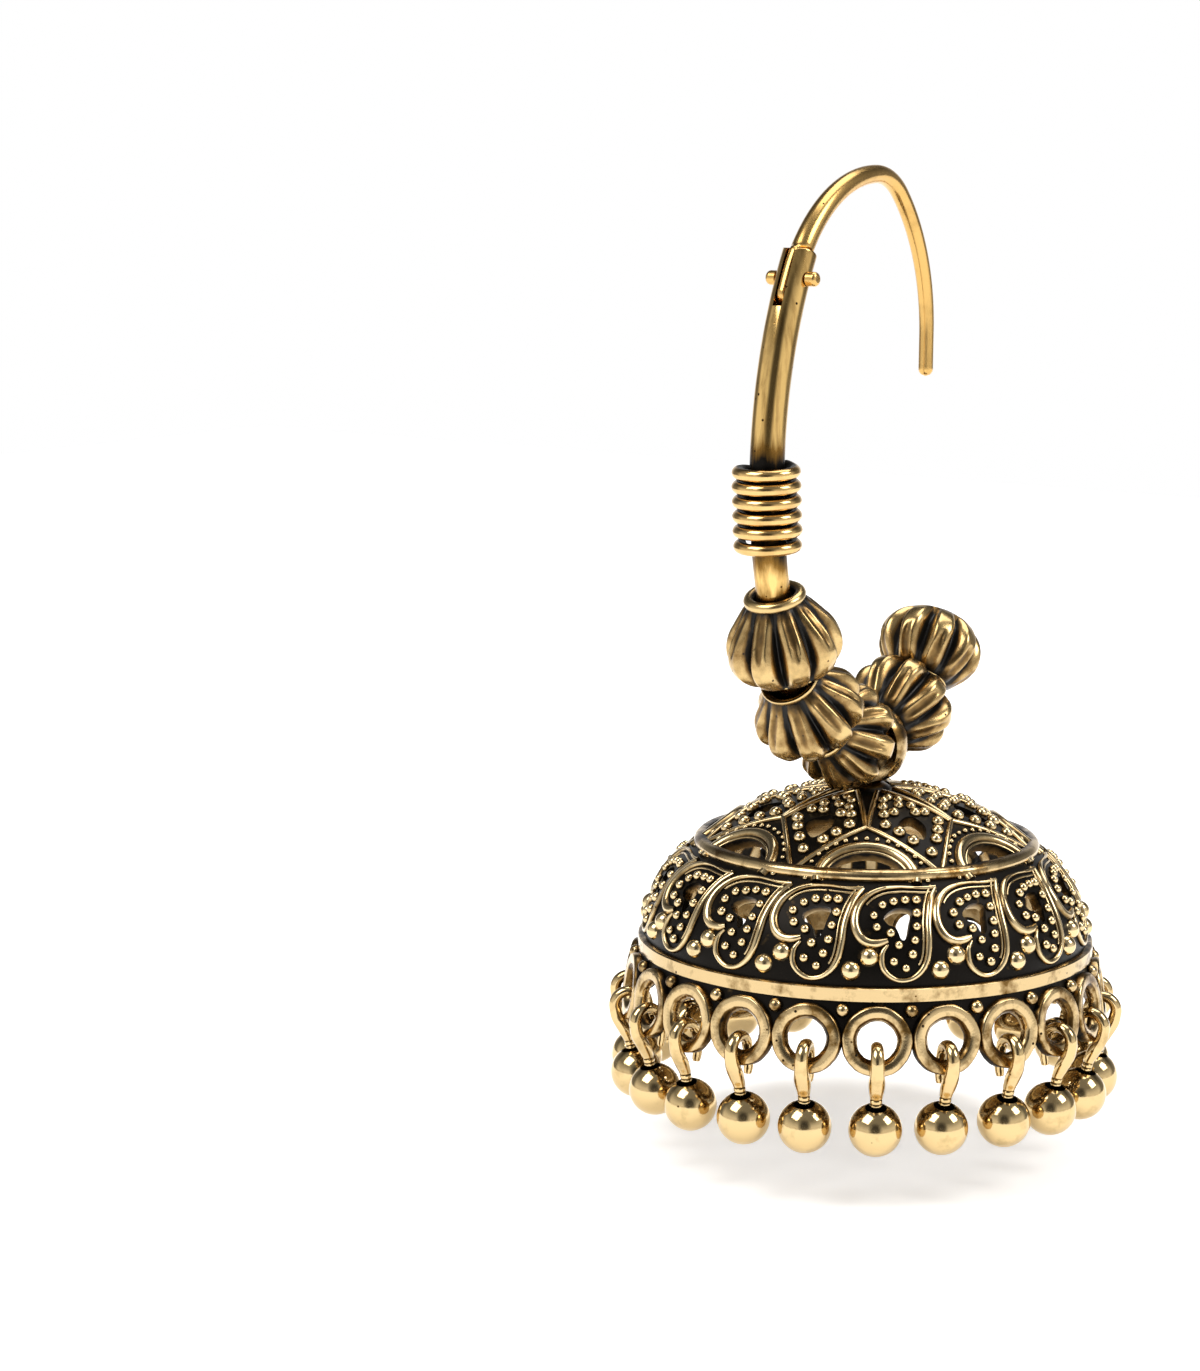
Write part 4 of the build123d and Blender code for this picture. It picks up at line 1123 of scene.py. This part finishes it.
    def skirt_rings(self) -> Mould:
        """The row of soldered rings, each a flat ring with a bevelled hole, and the granules between."""
        mould = Mould()
        outer, hole = self.RING_OUTER_R, self.RING_HOLE_R
        profile = np.array([[hole - 0.03, -0.27], [hole - 0.05, 0.02], [hole + 0.17, 0.27],
                            [hole + 0.23, 0.31], [outer - 0.14, 0.33], [outer - 0.08, 0.30],
                            [outer - 0.01, 0.16], [outer, -0.27]])
        for index in range(self.rings):
            ring = Mould()
            ring.lathe(profile, 56, [0.5, 0.85, 0.55, 1, 1, 1, 0.6, 0.2], wobble=0.012)
            mould.take(ring, self.ring_frame(index))
        grain_turn = np.radians(self.ring_turn + even_turns(self.rings, 0.5))
        centres = polar(self.STRIP_TOP_R + self.GRAIN_R, grain_turn, self.GRAIN_Z)
        mould.balls(centres, polar(1.0, grain_turn, 0.0), np.full(self.rings, self.GRAIN_R), 24, 16, -0.1)
        return mould

    # bail
    BAIL_R = 2.6
    THROAT_R = 1.58
    BAIL_HALF = 0.62
    THROAT_RISE = 0.24

    def bail(self, line: HoopLine) -> Mould:
        """The wide dished ring that hangs on the rod, and its solder foot."""
        mould = Mould()
        turn = line.bail_turn()
        rod_z = line.bottom_centre()[1] - line.bottom_r * math.cos(math.radians(turn))
        centre_z = rod_z + line.rod_r + 0.08 - self.THROAT_R - self.origin[2]
        h, outer, throat = self.BAIL_HALF, self.BAIL_R, self.THROAT_R
        front = np.array([[throat, 0.0], [throat + 0.06, h * 0.5], [throat + 0.28, h * 0.9],
                          [throat + 0.5, h], [outer - 0.16, h], [outer - 0.03, h * 0.6], [outer, 0.0]])
        wear_and_painted_light = np.array([0.45, 0.5, 0.7, 1, 1, 1, 1])
        ring = Mould()
        ring.lathe(np.vstack([front, front[-2:0:-1] * [1, -1]]), 96,
                   np.concatenate([wear_and_painted_light, wear_and_painted_light[-2:0:-1]]), wobble=0.01)
        # the throat is smaller than the ring's middle line asks and set high, so its foot is broad
        flat = ring.points[0][:, :2]
        near = 1 - step(throat + 0.1, throat + 0.6, np.linalg.norm(flat, axis=1))[:, None]
        ring.points[0][:, :2] += near * self.THROAT_RISE * (np.array([1.0, 0.0]) - unit(flat))
        tilt = math.radians(turn)
        along = (math.cos(tilt), 0.0, math.sin(tilt))
        upright = (-math.sin(tilt), 0.0, math.cos(tilt))
        points = Place((0, 0, centre_z), upright, (0.0, -1.0, 0.0), along).carry(ring.points[0])
        mould.closed(turned(points, -self.view_turn), ring.triangles[0], ring.wear_and_painted_light[0])
        apex = self.form.cap_z + self.form.cap_r
        mould.lathe(np.array([[0.3, apex - 0.4], [1.5, apex - 0.3], [1.42, apex + 0.05], [1.05, apex + 0.28],
                              [0.8, apex + 0.35], [0.3, apex + 0.3]]), 48, [0, 0, 0.2, 0.6, 0.6, 0.5])
        return mould

    def build(self, line: HoopLine, dresser: Dresser) -> None:
        """Build every part of the dome; together they stand for the CAD dome."""
        finishes = dresser.finishes
        place = self.place()
        parts = (("dome_drum_wall", self.drum_wall(), finishes.antiqued),
                 ("dome_crown_wall", self.crown_wall(), finishes.antiqued),
                 ("dome_leaf_lines", self.drum_lines(), finishes.antiqued),
                 ("dome_leaf_grains", self.drum_grains(), finishes.antiqued),
                 ("dome_crown_lines", self.crown_lines(), finishes.antiqued),
                 ("dome_crown_grains", self.crown_grains(), finishes.antiqued),
                 ("dome_bands", self.bands(), finishes.soldered),
                 ("dome_skirt_strip", self.skirt_strip(), finishes.antiqued),
                 ("dome_skirt_rings", self.skirt_rings(), finishes.soldered),
                 ("dome_bail", self.bail(line), finishes.soldered))
        for name, mould, material in parts:
            dresser.dress(mould.piece(name, place), material, "dome", "antiqued_brass", "dome")


# ---------------------------------------------------------------- drops
@dataclass
class Drop:
    """A ball drop: an open hook of wire through its ring, its stem, and a ball on the stem's foot."""

    number: int
    dome: Dome
    ball_r: float = 1.60
    ball_z: float = -8.02       # below the lower band
    ball_in: float = 0.42       # how far inside its ring's foot the ball hangs
    tilt: float = 13.0          # degrees that the hook leans outward
    hole_r: float = 0.64        # hole in the ball that the stem enters
    wire: tuple[float, float] = (0.37, 0.32)    # half width and half thickness of the front leg

    # x outward and z up from the ball's middle, and the size of the wire as a share
    STEM = ((0.0, 0.95, 0.92), (0.0, 1.45, 0.94), (0.0, 1.68, 0.98), (0.0, 1.74, 0.84), (0.0, 1.80, 1.0),
            (0.0, 1.98, 1.0), (0.0, 2.04, 0.84), (0.0, 2.10, 1.02), (0.04, 2.4, 1.14), (0.16, 2.85, 1.32),
            (0.31, 3.3, 1.36), (0.42, 3.75, 1.22))
    ARCH = (-0.45, 4.25, 0.87)  # middle (x, z) and radius
    TAIL = ((-1.33, 3.75, 0.88), (-1.32, 3.3, 0.84), (-1.20, 2.9, 0.80), (-1.06, 2.6, 0.74),
            (-1.01, 2.45, 0.60))
    MOST_THICK = 1.25           # share that the wire's thickness stops at
    GROOVES_TO = 2.2            # height that the stem's dark grooves reach
    SPIN = 25                   # most degrees that a ball is turned on its stem
    SWING, TWIST = 1.1, 3.5     # spread in degrees of how the drops hang in their rings

    def hook(self, mould: Mould) -> None:
        """Add the stem with its two grooves, the hook and its free tail."""
        middle_x, middle_z, radius = self.ARCH
        angle = np.linspace(0, math.pi, 15)
        arch = np.stack([middle_x + radius * np.cos(angle), middle_z + radius * np.sin(angle),
                         np.linspace(1.14, 0.9, 15)], -1)
        path = smooth_curve(np.vstack([np.array(self.STEM), arch, np.array(self.TAIL)]), 3)
        size = path[:, 2]
        on_stem = (path[:, 1:2] < self.GROOVES_TO) & (path[:, 0:1] > -0.2)
        wear_and_painted_light = 0.95 - 0.8 * step(0.05, 0.14, 1 - path[:, 2:3]) * on_stem
        mould.tube(in_xz(path), Y_AXIS, self.wire[1] * np.minimum(size, self.MOST_THICK),
                   self.wire[0] * size, 14, wear_and_painted_light)

    def ball(self, mould: Mould) -> None:
        """Add the ball, open where the stem enters it."""
        tilt = np.linspace(math.asin(self.hole_r / self.ball_r), math.pi - 0.02, 26)
        profile = np.vstack([[[0.02, self.ball_r * 0.62], [self.hole_r * 0.9, self.ball_r * 0.62],
                              [self.hole_r * 0.97, self.ball_r * 0.86]],
                             np.stack([self.ball_r * np.sin(tilt), self.ball_r * np.cos(tilt)], -1)])
        wear_and_painted_light = np.ones(len(profile))
        wear_and_painted_light[:4] = 0.0, 0.0, 0.1, 0.7
        mould.lathe(profile, 48, wear_and_painted_light)

    def build(self, dresser: Dresser) -> None:
        """Build the drop, swung a little from its ring."""
        dome = self.dome
        ring_foot = (dome.RING_HOLE_R + dome.RING_OUTER_R) / 2
        axis_r = dome.RING_CENTRE_R + ring_foot * math.sin(math.radians(dome.SKIRT_LEAN)) * 0.8
        mould = Mould()
        self.hook(mould)
        self.ball(mould)
        random = np.random.default_rng(40 + self.number)
        mould.points[1] = mould.points[1] @ rotation(2, random.uniform(-self.SPIN, self.SPIN))
        rock = rotation(0, random.normal(0, self.SWING))
        yaw = rotation(2, random.normal(0, self.TWIST))
        lean = rotation(1, self.tilt)
        pivot = np.array([axis_r, 0.0, dome.RING_Z - ring_foot])
        foot = np.array([axis_r - self.ball_in, 0.0, self.ball_z])
        turn = dome.ring_turn + 360 / dome.rings * (self.number - 1)
        mould.points = [turned((p @ lean + foot - pivot) @ yaw @ rock + pivot, turn) for p in mould.points]
        piece = mould.piece("ball_drop_%02d" % self.number, dome.place())
        dresser.dress(piece, dresser.finishes.polished, "dome", "polished_brass", "drop_%02d" % self.number)


# ---------------------------------------------------------------- ear wire, rod and coil
@dataclass
class EarWire:
    """The hooked wire: a flat tongue in the hinge, the arch, a bend, and a straight leg."""

    line: HoopLine
    hinge_r: float = 0.70
    crown_r: float = 0.55
    tip_r: float = 0.45
    tongue_half: float = 0.255      # half the tongue's thickness
    tongue_foot: float = 1.80       # below the pin
    tongue_top: float = 1.75        # above the pin, where the ears of the rod end
    tongue_wider: float = 0.26      # how much the tongue's half width is over the wire's
    shoulder: tuple[float, float] = (1.5, 1.8)      # above the pin, where that ends
    thinned: tuple[float, float] = (0.05, 0.18)     # above the tongue's top, where its flatness ends
    foot_round: float = 0.7         # length over which the tongue's foot is rounded
    bluntness: float = 0.65         # how far the tongue's section goes from an oval to a rectangle
    bend_r: float = 4.0
    bend_turn: float = 45.0
    leg_x: float = 6.42
    leg: float = 2.65               # with its rounded tip

    def path(self) -> Array:
        """Middle line of the wire, as (x, z) rows from the tongue's foot to the tip."""
        line = self.line
        lean = math.radians(line.hinge_lean)
        below = np.linspace(-self.tongue_foot, -0.05, 16)[:, None]
        foot = np.array(line.pin()) + below * [math.sin(lean), math.cos(lean)]
        turn = np.linspace(lean, math.pi / 2, 60)
        arch = np.stack([-line.crown_r * np.cos(turn),
                         line.wire_r - line.crown_r + line.crown_r * np.sin(turn)], -1)
        turn = np.linspace(0, math.radians(self.bend_turn), 24)[1:]
        bend = np.stack([self.bend_r * np.sin(turn),
                         line.wire_r - self.bend_r + self.bend_r * np.cos(turn)], -1)
        side, up = math.sin(turn[-1]), math.cos(turn[-1])
        long_r = (self.leg_x - bend[-1, 0]) / (1 - side)
        centre = bend[-1] - long_r * np.array([side, up])
        turn = np.linspace(turn[-1], math.pi / 2, 30)[1:]
        long_bend = centre + long_r * np.stack([np.sin(turn), np.cos(turn)], -1)
        leg = long_bend[-1] - np.linspace(0, self.leg, 24)[1:, None] * [0.0, 1.0]
        return np.vstack([foot, arch, bend, long_bend, leg])

    def build(self, dresser: Dresser) -> None:
        """Build the wire, flattened where it turns in the hinge and rounded at both ends."""
        path = self.path()
        run = lengths(path)
        above_pin = run - self.tongue_foot
        crown_run = run[np.argmax(path[:, 1])]
        size = np.interp(run, [self.tongue_foot, crown_run, run[-1] - self.leg, run[-1]],
                         [self.hinge_r, self.crown_r, self.tip_r, self.tip_r])
        flat = 1 - step(self.tongue_top + self.thinned[0], self.tongue_top + self.thinned[1], above_pin)
        thick = size + (self.tongue_half - size) * flat
        wide = size + self.tongue_wider * (1 - step(*self.shoulder, above_pin))
        to_tip = np.clip(1 - (run[-1] - run) / self.tip_r, 0, 1)
        to_foot = np.clip(1 - run / self.foot_round, 0, 1)
        rounding = np.sqrt(np.maximum(1 - to_tip ** 2, 0.002)) * np.sqrt(np.maximum(1 - to_foot ** 2, 0.002))
        mould = Mould()
        mould.tube(in_xz(path), Y_AXIS, wide * rounding, thick * np.where(to_foot > 0, 1.0, rounding), 28,
                   0.9, blunt=1 - self.bluntness * flat)
        piece = mould.piece("drawn_ear_wire", Place())
        dresser.dress(piece, dresser.finishes.gilt, "ear_wire", "gilt_brass_wire", "ear_wire")


@dataclass
class Hoop:
    """The hoop's slotted rod, its cap behind the last bead, and the wire coil wound round it."""

    line: HoopLine
    last_bead: MelonBead
    ear_above: float = 1.75         # slotted end, above and below the pin
    slot_below: float = 2.0
    slot_half: float = 0.31
    tuck: float = 0.15              # how far the ears run on inside the rod, past the slot's foot
    end_round: float = 0.16
    cap_r: float = 1.70
    cap_thick: float = 0.5
    coil_z: float = -18.43          # height of its middle
    coil_r: float = 1.70
    coil_wire: float = 0.365
    coil_pitch: float = 0.87
    coil_turns: float = 5.75
    coil_front: float = 121.0       # degrees round the rod to its outer side
    shade: tuple[float, float] = (2.2, 4.4)             # mm from the coil's middle where its shade fades
    bead_shade: tuple[float, float] = (-22.5, -24.0)    # heights where the beads' shade begins

    def ears(self, mould: Mould) -> None:
        """Add the two ears of the slotted end.

        An ear's section is the part of the rod's circle that lies beyond the slot: its arc, and the
        straight side along the slot. Near the top the circle shrinks along a quarter round, and the
        section's ends draw in to a circle about the pin, so that the wire's shoulder clears them.
        """
        line = self.line
        top = line.hinge_lean + math.degrees(self.ear_above / line.side_r)
        foot = line.hinge_lean - math.degrees((self.slot_below + self.tuck) / line.side_r)
        share = np.concatenate([np.linspace(0, 0.13, 9), np.linspace(0.17, 1, 14)])
        leans = top + (foot - top) * share
        down = share * (self.ear_above + self.slot_below + self.tuck)
        radius = line.rod_r - self.end_round + np.sqrt(
            np.maximum(self.end_round ** 2 - np.maximum(self.end_round - down, 0) ** 2, 0))
        reach = np.sqrt(np.maximum(self.ear_above ** 2 - np.maximum(self.ear_above - down, 0) ** 2, 0.001))
        centre = line.path(np.array([line.run_at(lean) for lean in leans]))
        angle = np.radians(leans)
        across = in_xz(np.stack([-np.cos(angle), np.sin(angle)], -1))
        limit = np.arccos(np.clip(self.slot_half / radius, 0, 1))[:, None]
        arc = np.linspace(-1, 1, 25)[None] * limit
        chord = np.linspace(1, -1, 11)[None, 1:-1] * np.sin(limit)
        u = np.concatenate([np.sin(arc), chord], 1) * radius[:, None]
        u = np.clip(u, -reach[:, None], reach[:, None])
        v = np.concatenate([np.cos(arc) * radius[:, None], np.full(chord.shape, self.slot_half)], 1)
        wear_and_painted_light = np.concatenate([np.full(arc.shape, 0.9), np.full(chord.shape, 0.8)], 1)
        for side in (-1, 1):
            beside = (v * side)[..., None] * Y_AXIS
            mould.rings(centre[:, None] + across[:, None] * u[..., None] + beside, wear_and_painted_light)

    def rod(self) -> Mould:
        """The rod from the slot's foot round to the cap, with painted shade by the coil and in the beads."""
        mould = Mould()
        line, last = self.line, self.last_bead
        self.ears(mould)
        start = line.run_at(line.hinge_lean - math.degrees(self.slot_below / line.side_r))
        cap_at = last.length / 2 - 0.5
        runs = np.linspace(start, last.run + cap_at + 0.1, 220)
        points = line.path(runs)
        # painted shade: the rod darkened round the coil on the hinge side, and where it runs inside the beads
        painted_coil_shade = (1 - step(*self.shade, np.abs(points[:, 2] - self.coil_z))) * (points[:, 0] < 0)
        beads = step(*self.bead_shade, points[:, 2])
        mould.tube(points, Y_AXIS, line.rod_r, line.rod_r, 56,
                   (0.92 - np.maximum(0.75 * painted_coil_shade, 0.45 * beads))[:, None])
        cap = Mould()
        r, low, high = self.cap_r, cap_at, cap_at + self.cap_thick
        cap.lathe(np.array([[0.02, low], [r, low], [r, high - 0.2], [r - 0.06, high - 0.06], [r - 0.2, high],
                            [0.9, high + 0.03], [0.02, high + 0.05]]), 56, [0.2, 0.3, 0.9, 1, 1, 0.8, 0.8])
        mould.take(cap, line.place(last.run, last.length))
        return mould

    def coil(self) -> Mould:
        """The coil, a helix whose turns lie level on its outer side and climb behind the rod, with painted
        shade between its turns and towards the rod.
        """
        mould = Mould()
        line = self.line
        lean = math.asin((self.coil_z - line.side_centre()[1]) / line.side_r)
        x, z = line.side_point(math.degrees(lean))
        place = Place((x, 0.0, z), (0.0, 1.0, 0.0), (-math.cos(lean), 0.0, math.sin(lean)),
                      (math.sin(lean), 0.0, math.cos(lean)))
        turn = np.linspace(0, self.coil_turns * 360, int(self.coil_turns * 72))
        share = (turn - self.coil_front) / 360
        climb = np.floor(share) + step(0.27, 0.73, share - np.floor(share))
        outward = polar(1.0, np.radians(turn), 0.0)
        middle = (climb[0] + climb[-1]) / 2
        random = np.random.default_rng(3)
        loose = np.interp(share, np.arange(-1, 7), random.normal(0, 0.025, 8))
        points = outward * (self.coil_r + loose)[:, None]
        points[:, 2] = (climb - middle) * self.coil_pitch + loose
        end = np.minimum(np.arange(len(turn)), np.arange(len(turn))[::-1]) * self.coil_r * math.radians(5)
        size = self.coil_wire * np.sqrt(np.maximum(1 - np.clip(1 - end / self.coil_wire, 0, 1) ** 2, 0.02))
        # painted shade: the wire darkened on its flanks between the turns and on its side towards the rod
        wear_and_painted_light = np.broadcast_to(0.9 * step(-0.15, 0.55, np.sin(angles_round(18))), (len(points), 18))
        mould.tube(points, outward, size, size, 18, wear_and_painted_light)
        mould.points = [place.carry(p) for p in mould.points]
        return mould

    def build(self, dresser: Dresser) -> None:
        """Build the rod and the coil, and give the CAD pin its metal."""
        finishes = dresser.finishes
        dresser.dress(self.rod().piece("slotted_hoop_rod", Place()), finishes.rod, "hoop", "aged_brass",
                      "hoop_rod")
        dresser.dress(self.coil().piece("loose_wire_coil", Place()), finishes.coil, "hoop",
                      "worn_brass_coil", "wire_coil")
        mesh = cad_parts["hinge_pin"].data
        mesh.materials.clear()
        mesh.materials.append(finishes.gilt)


# ---------------------------------------------------------------- studio
def pose(axes: tuple[Array, Array, Array], origin: Array) -> Matrix:
    """World matrix of something, from its X, Y and Z axes and its origin in metres."""
    matrix = np.eye(4)
    matrix[:3, :3] = np.stack(axes, 1)
    matrix[:3, 3] = origin
    return Matrix(matrix)


@dataclass(frozen=True)
class Studio:
    """Pale floor, soft boxes and the camera."""

    eye: tuple[float, float, float] = (-187.0, -111.9, 5.75)   # mm
    hoop_turn: float = 31.1     # degrees between the hoop's plane and the line of sight
    yaw: float = -0.0714        # radians to the right of the dome's middle
    pitch: float = 0.1658       # radians downwards
    roll: float = 0.0066
    lens: float = 94.37
    floor_gap: float = 3.5      # mm under the lowest ball
    floor_half: float = 0.34    # metres
    aim: tuple[float, float, float] = (0.0, 0.0, -0.03)     # the earring's middle, in metres
    box_distance: float = 0.5

    # brightness of the room from behind the earring, 0, round to the camera's side, 1
    FLAGS = ((0.06, 1.0), (0.14, 0.25), (0.34, 0.25), (0.48, 1.0), (0.93, 1.0), (0.985, 0.12))
    SKY_FADE, SKY_TOP = (0.16, 0.55), 0.28      # heights between which it dims, and its brightness above

    # name, azimuth and elevation in degrees from the eye's side, size in metres and power in watts
    BOXES = (("soft_box_left", -55, 50, 0.30, 1.6), ("soft_box_right", 75, 40, 0.22, 1.15),
             ("soft_box_top", 150, 70, 0.35, 1.2))

    def camera(self) -> None:
        """Set the camera: forward from yaw and pitch, right and up turned by the roll."""
        ahead = np.array([math.sin(self.yaw) * math.cos(self.pitch),
                          math.cos(self.yaw) * math.cos(self.pitch), -math.sin(self.pitch)])
        side = np.array([math.cos(self.yaw), -math.sin(self.yaw), 0.0])
        up = np.cross(side, ahead)
        c, s = math.cos(self.roll), math.sin(self.roll)
        side, up = c * side + s * up, -s * side + c * up
        row_frame = rotation(2, 90 - self.hoop_turn)
        data = bpy.data.cameras.new("camera")
        data.sensor_fit = "VERTICAL"
        data.sensor_height = 36.0
        data.lens = self.lens
        data.clip_start, data.clip_end = 0.01, 20.0
        camera = bpy.data.objects.new("camera", data)
        camera.matrix_world = pose(tuple(row_frame @ v for v in (side, up, -ahead)), np.array(self.eye) * MM)
        bpy.context.scene.collection.objects.link(camera)
        bpy.context.scene.camera = camera

    def floor(self) -> None:
        """Lay the pale floor a little under the lowest ball."""
        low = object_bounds()[0][2] - self.floor_gap * MM
        mesh = bpy.data.meshes.new("floor")
        size = self.floor_half
        mesh.from_pydata([(-size, -size, low), (size, -size, low), (size, size, low), (-size, size, low)],
                         [], [(0, 1, 2, 3)])
        floor = bpy.data.objects.new("floor", mesh)
        bpy.context.scene.collection.objects.link(floor)
        material = bpy.data.materials.new("white_paper")
        material.use_nodes = True
        shader = material.node_tree.nodes["Principled BSDF"]
        for key, value in {"Base Color": (0.93, 0.93, 0.93, 1), "Emission Color": (1.0, 1.0, 1.0, 1),
                           "Emission Strength": 0.5, "Roughness": 0.9, "Specular IOR Level": 0.1}.items():
            shader.inputs[key].default_value = value
        floor.data.materials.append(material)
        floor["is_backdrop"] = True

    def soft_box(self, name: str, azimuth: float, elevation: float, size: float, watts: float) -> None:
        """Hang one square soft box, aimed at the earring's middle.

        Args:
            name: the light's name. azimuth, elevation: degrees from the eye's side of the dome.
            size: metres. watts: power.
        """
        turn = math.radians(180 + self.hoop_turn + azimuth)
        rise = math.radians(elevation)
        way = np.array([math.cos(turn) * math.cos(rise), math.sin(turn) * math.cos(rise), math.sin(rise)])
        data = bpy.data.lights.new(name, "AREA")
        data.energy = watts
        data.size = size
        light = bpy.data.objects.new(name, data)
        side = unit(np.cross([0.0, 0.0, 1.0], way))
        origin = np.array(self.aim) + way * self.box_distance
        light.matrix_world = pose((side, np.cross(way, side), way), origin)
        bpy.context.scene.collection.objects.link(light)

    def world(self) -> None:
        """Light the room: white, dimmer above, with dark flags behind the earring and at the camera.

        What the camera itself sees past the floor is plain white.
        """
        world = bpy.data.worlds.new("studio")
        world.use_nodes = True
        tree = world.node_tree
        tree.nodes.clear()
        eye = unit(np.array(self.eye) - np.array([0, 0, -46.0]))
        way = add_node(tree, "ShaderNodeTexCoord").outputs["Generated"]
        height = add_node(tree, "ShaderNodeSeparateXYZ", {}, {0: way}).outputs["Z"]
        above = add_range(tree, height, *self.SKY_FADE)
        sky = add_node(tree, "ShaderNodeMix", {"data_type": "RGBA", 6: (1.0, 1.0, 1.0, 1),
                                               7: (self.SKY_TOP, self.SKY_TOP, self.SKY_TOP, 1)}, {0: above})
        facing = add_node(tree, "ShaderNodeVectorMath", {"operation": "DOT_PRODUCT", 1: tuple(eye)}, {0: way})
        share = add_range(tree, facing.outputs["Value"], -1.0, 1.0)
        flags = add_node(tree, "ShaderNodeValToRGB", {}, {"Fac": share})
        stops = flags.color_ramp.elements
        for stop, (_, value) in zip((stops[0], stops[1]), (self.FLAGS[0], self.FLAGS[-1])):
            stop.color = (value, value, value, 1)
        for position, value in self.FLAGS:
            stops.new(position).color = (value, value, value, 1)
        shade = add_node(tree, "ShaderNodeMix", {"data_type": "RGBA", "blend_type": "MULTIPLY", 0: 1.0},
                         {6: sky.outputs[2], 7: flags.outputs["Color"]})
        seen = add_node(tree, "ShaderNodeLightPath").outputs["Is Camera Ray"]
        paper = add_node(tree, "ShaderNodeMix", {"data_type": "RGBA", 7: (1.0, 1.0, 1.0, 1)},
                         {0: seen, 6: shade.outputs[2]})
        back = add_node(tree, "ShaderNodeBackground", {"Strength": 1.0}, {"Color": paper.outputs[2]})
        add_node(tree, "ShaderNodeOutputWorld", {}, {"Surface": back.outputs["Background"]})
        bpy.context.scene.world = world

    def build(self) -> None:
        """Set up the whole studio."""
        self.camera()
        self.floor()
        self.world()
        for box in self.BOXES:
            self.soft_box(*box)
        bpy.context.scene.view_settings.view_transform = "Standard"


def main() -> None:
    """Build the earring and its studio, in order."""
    logging.basicConfig(level=logging.INFO, format="%(name)s: %(message)s")
    line = HoopLine()
    dresser = Dresser(Finishes())
    beads = melon_beads()
    EarWire(line).build(dresser)
    Hoop(line, beads[-1]).build(dresser)
    for bead in beads:
        bead.build(line, dresser)
    dome = Dome()
    dome.build(line, dresser)
    for number in range(1, dome.rings + 1):
        Drop(number, dome).build(dresser)
    Studio().build()


if __name__ == "__main__":
    main()
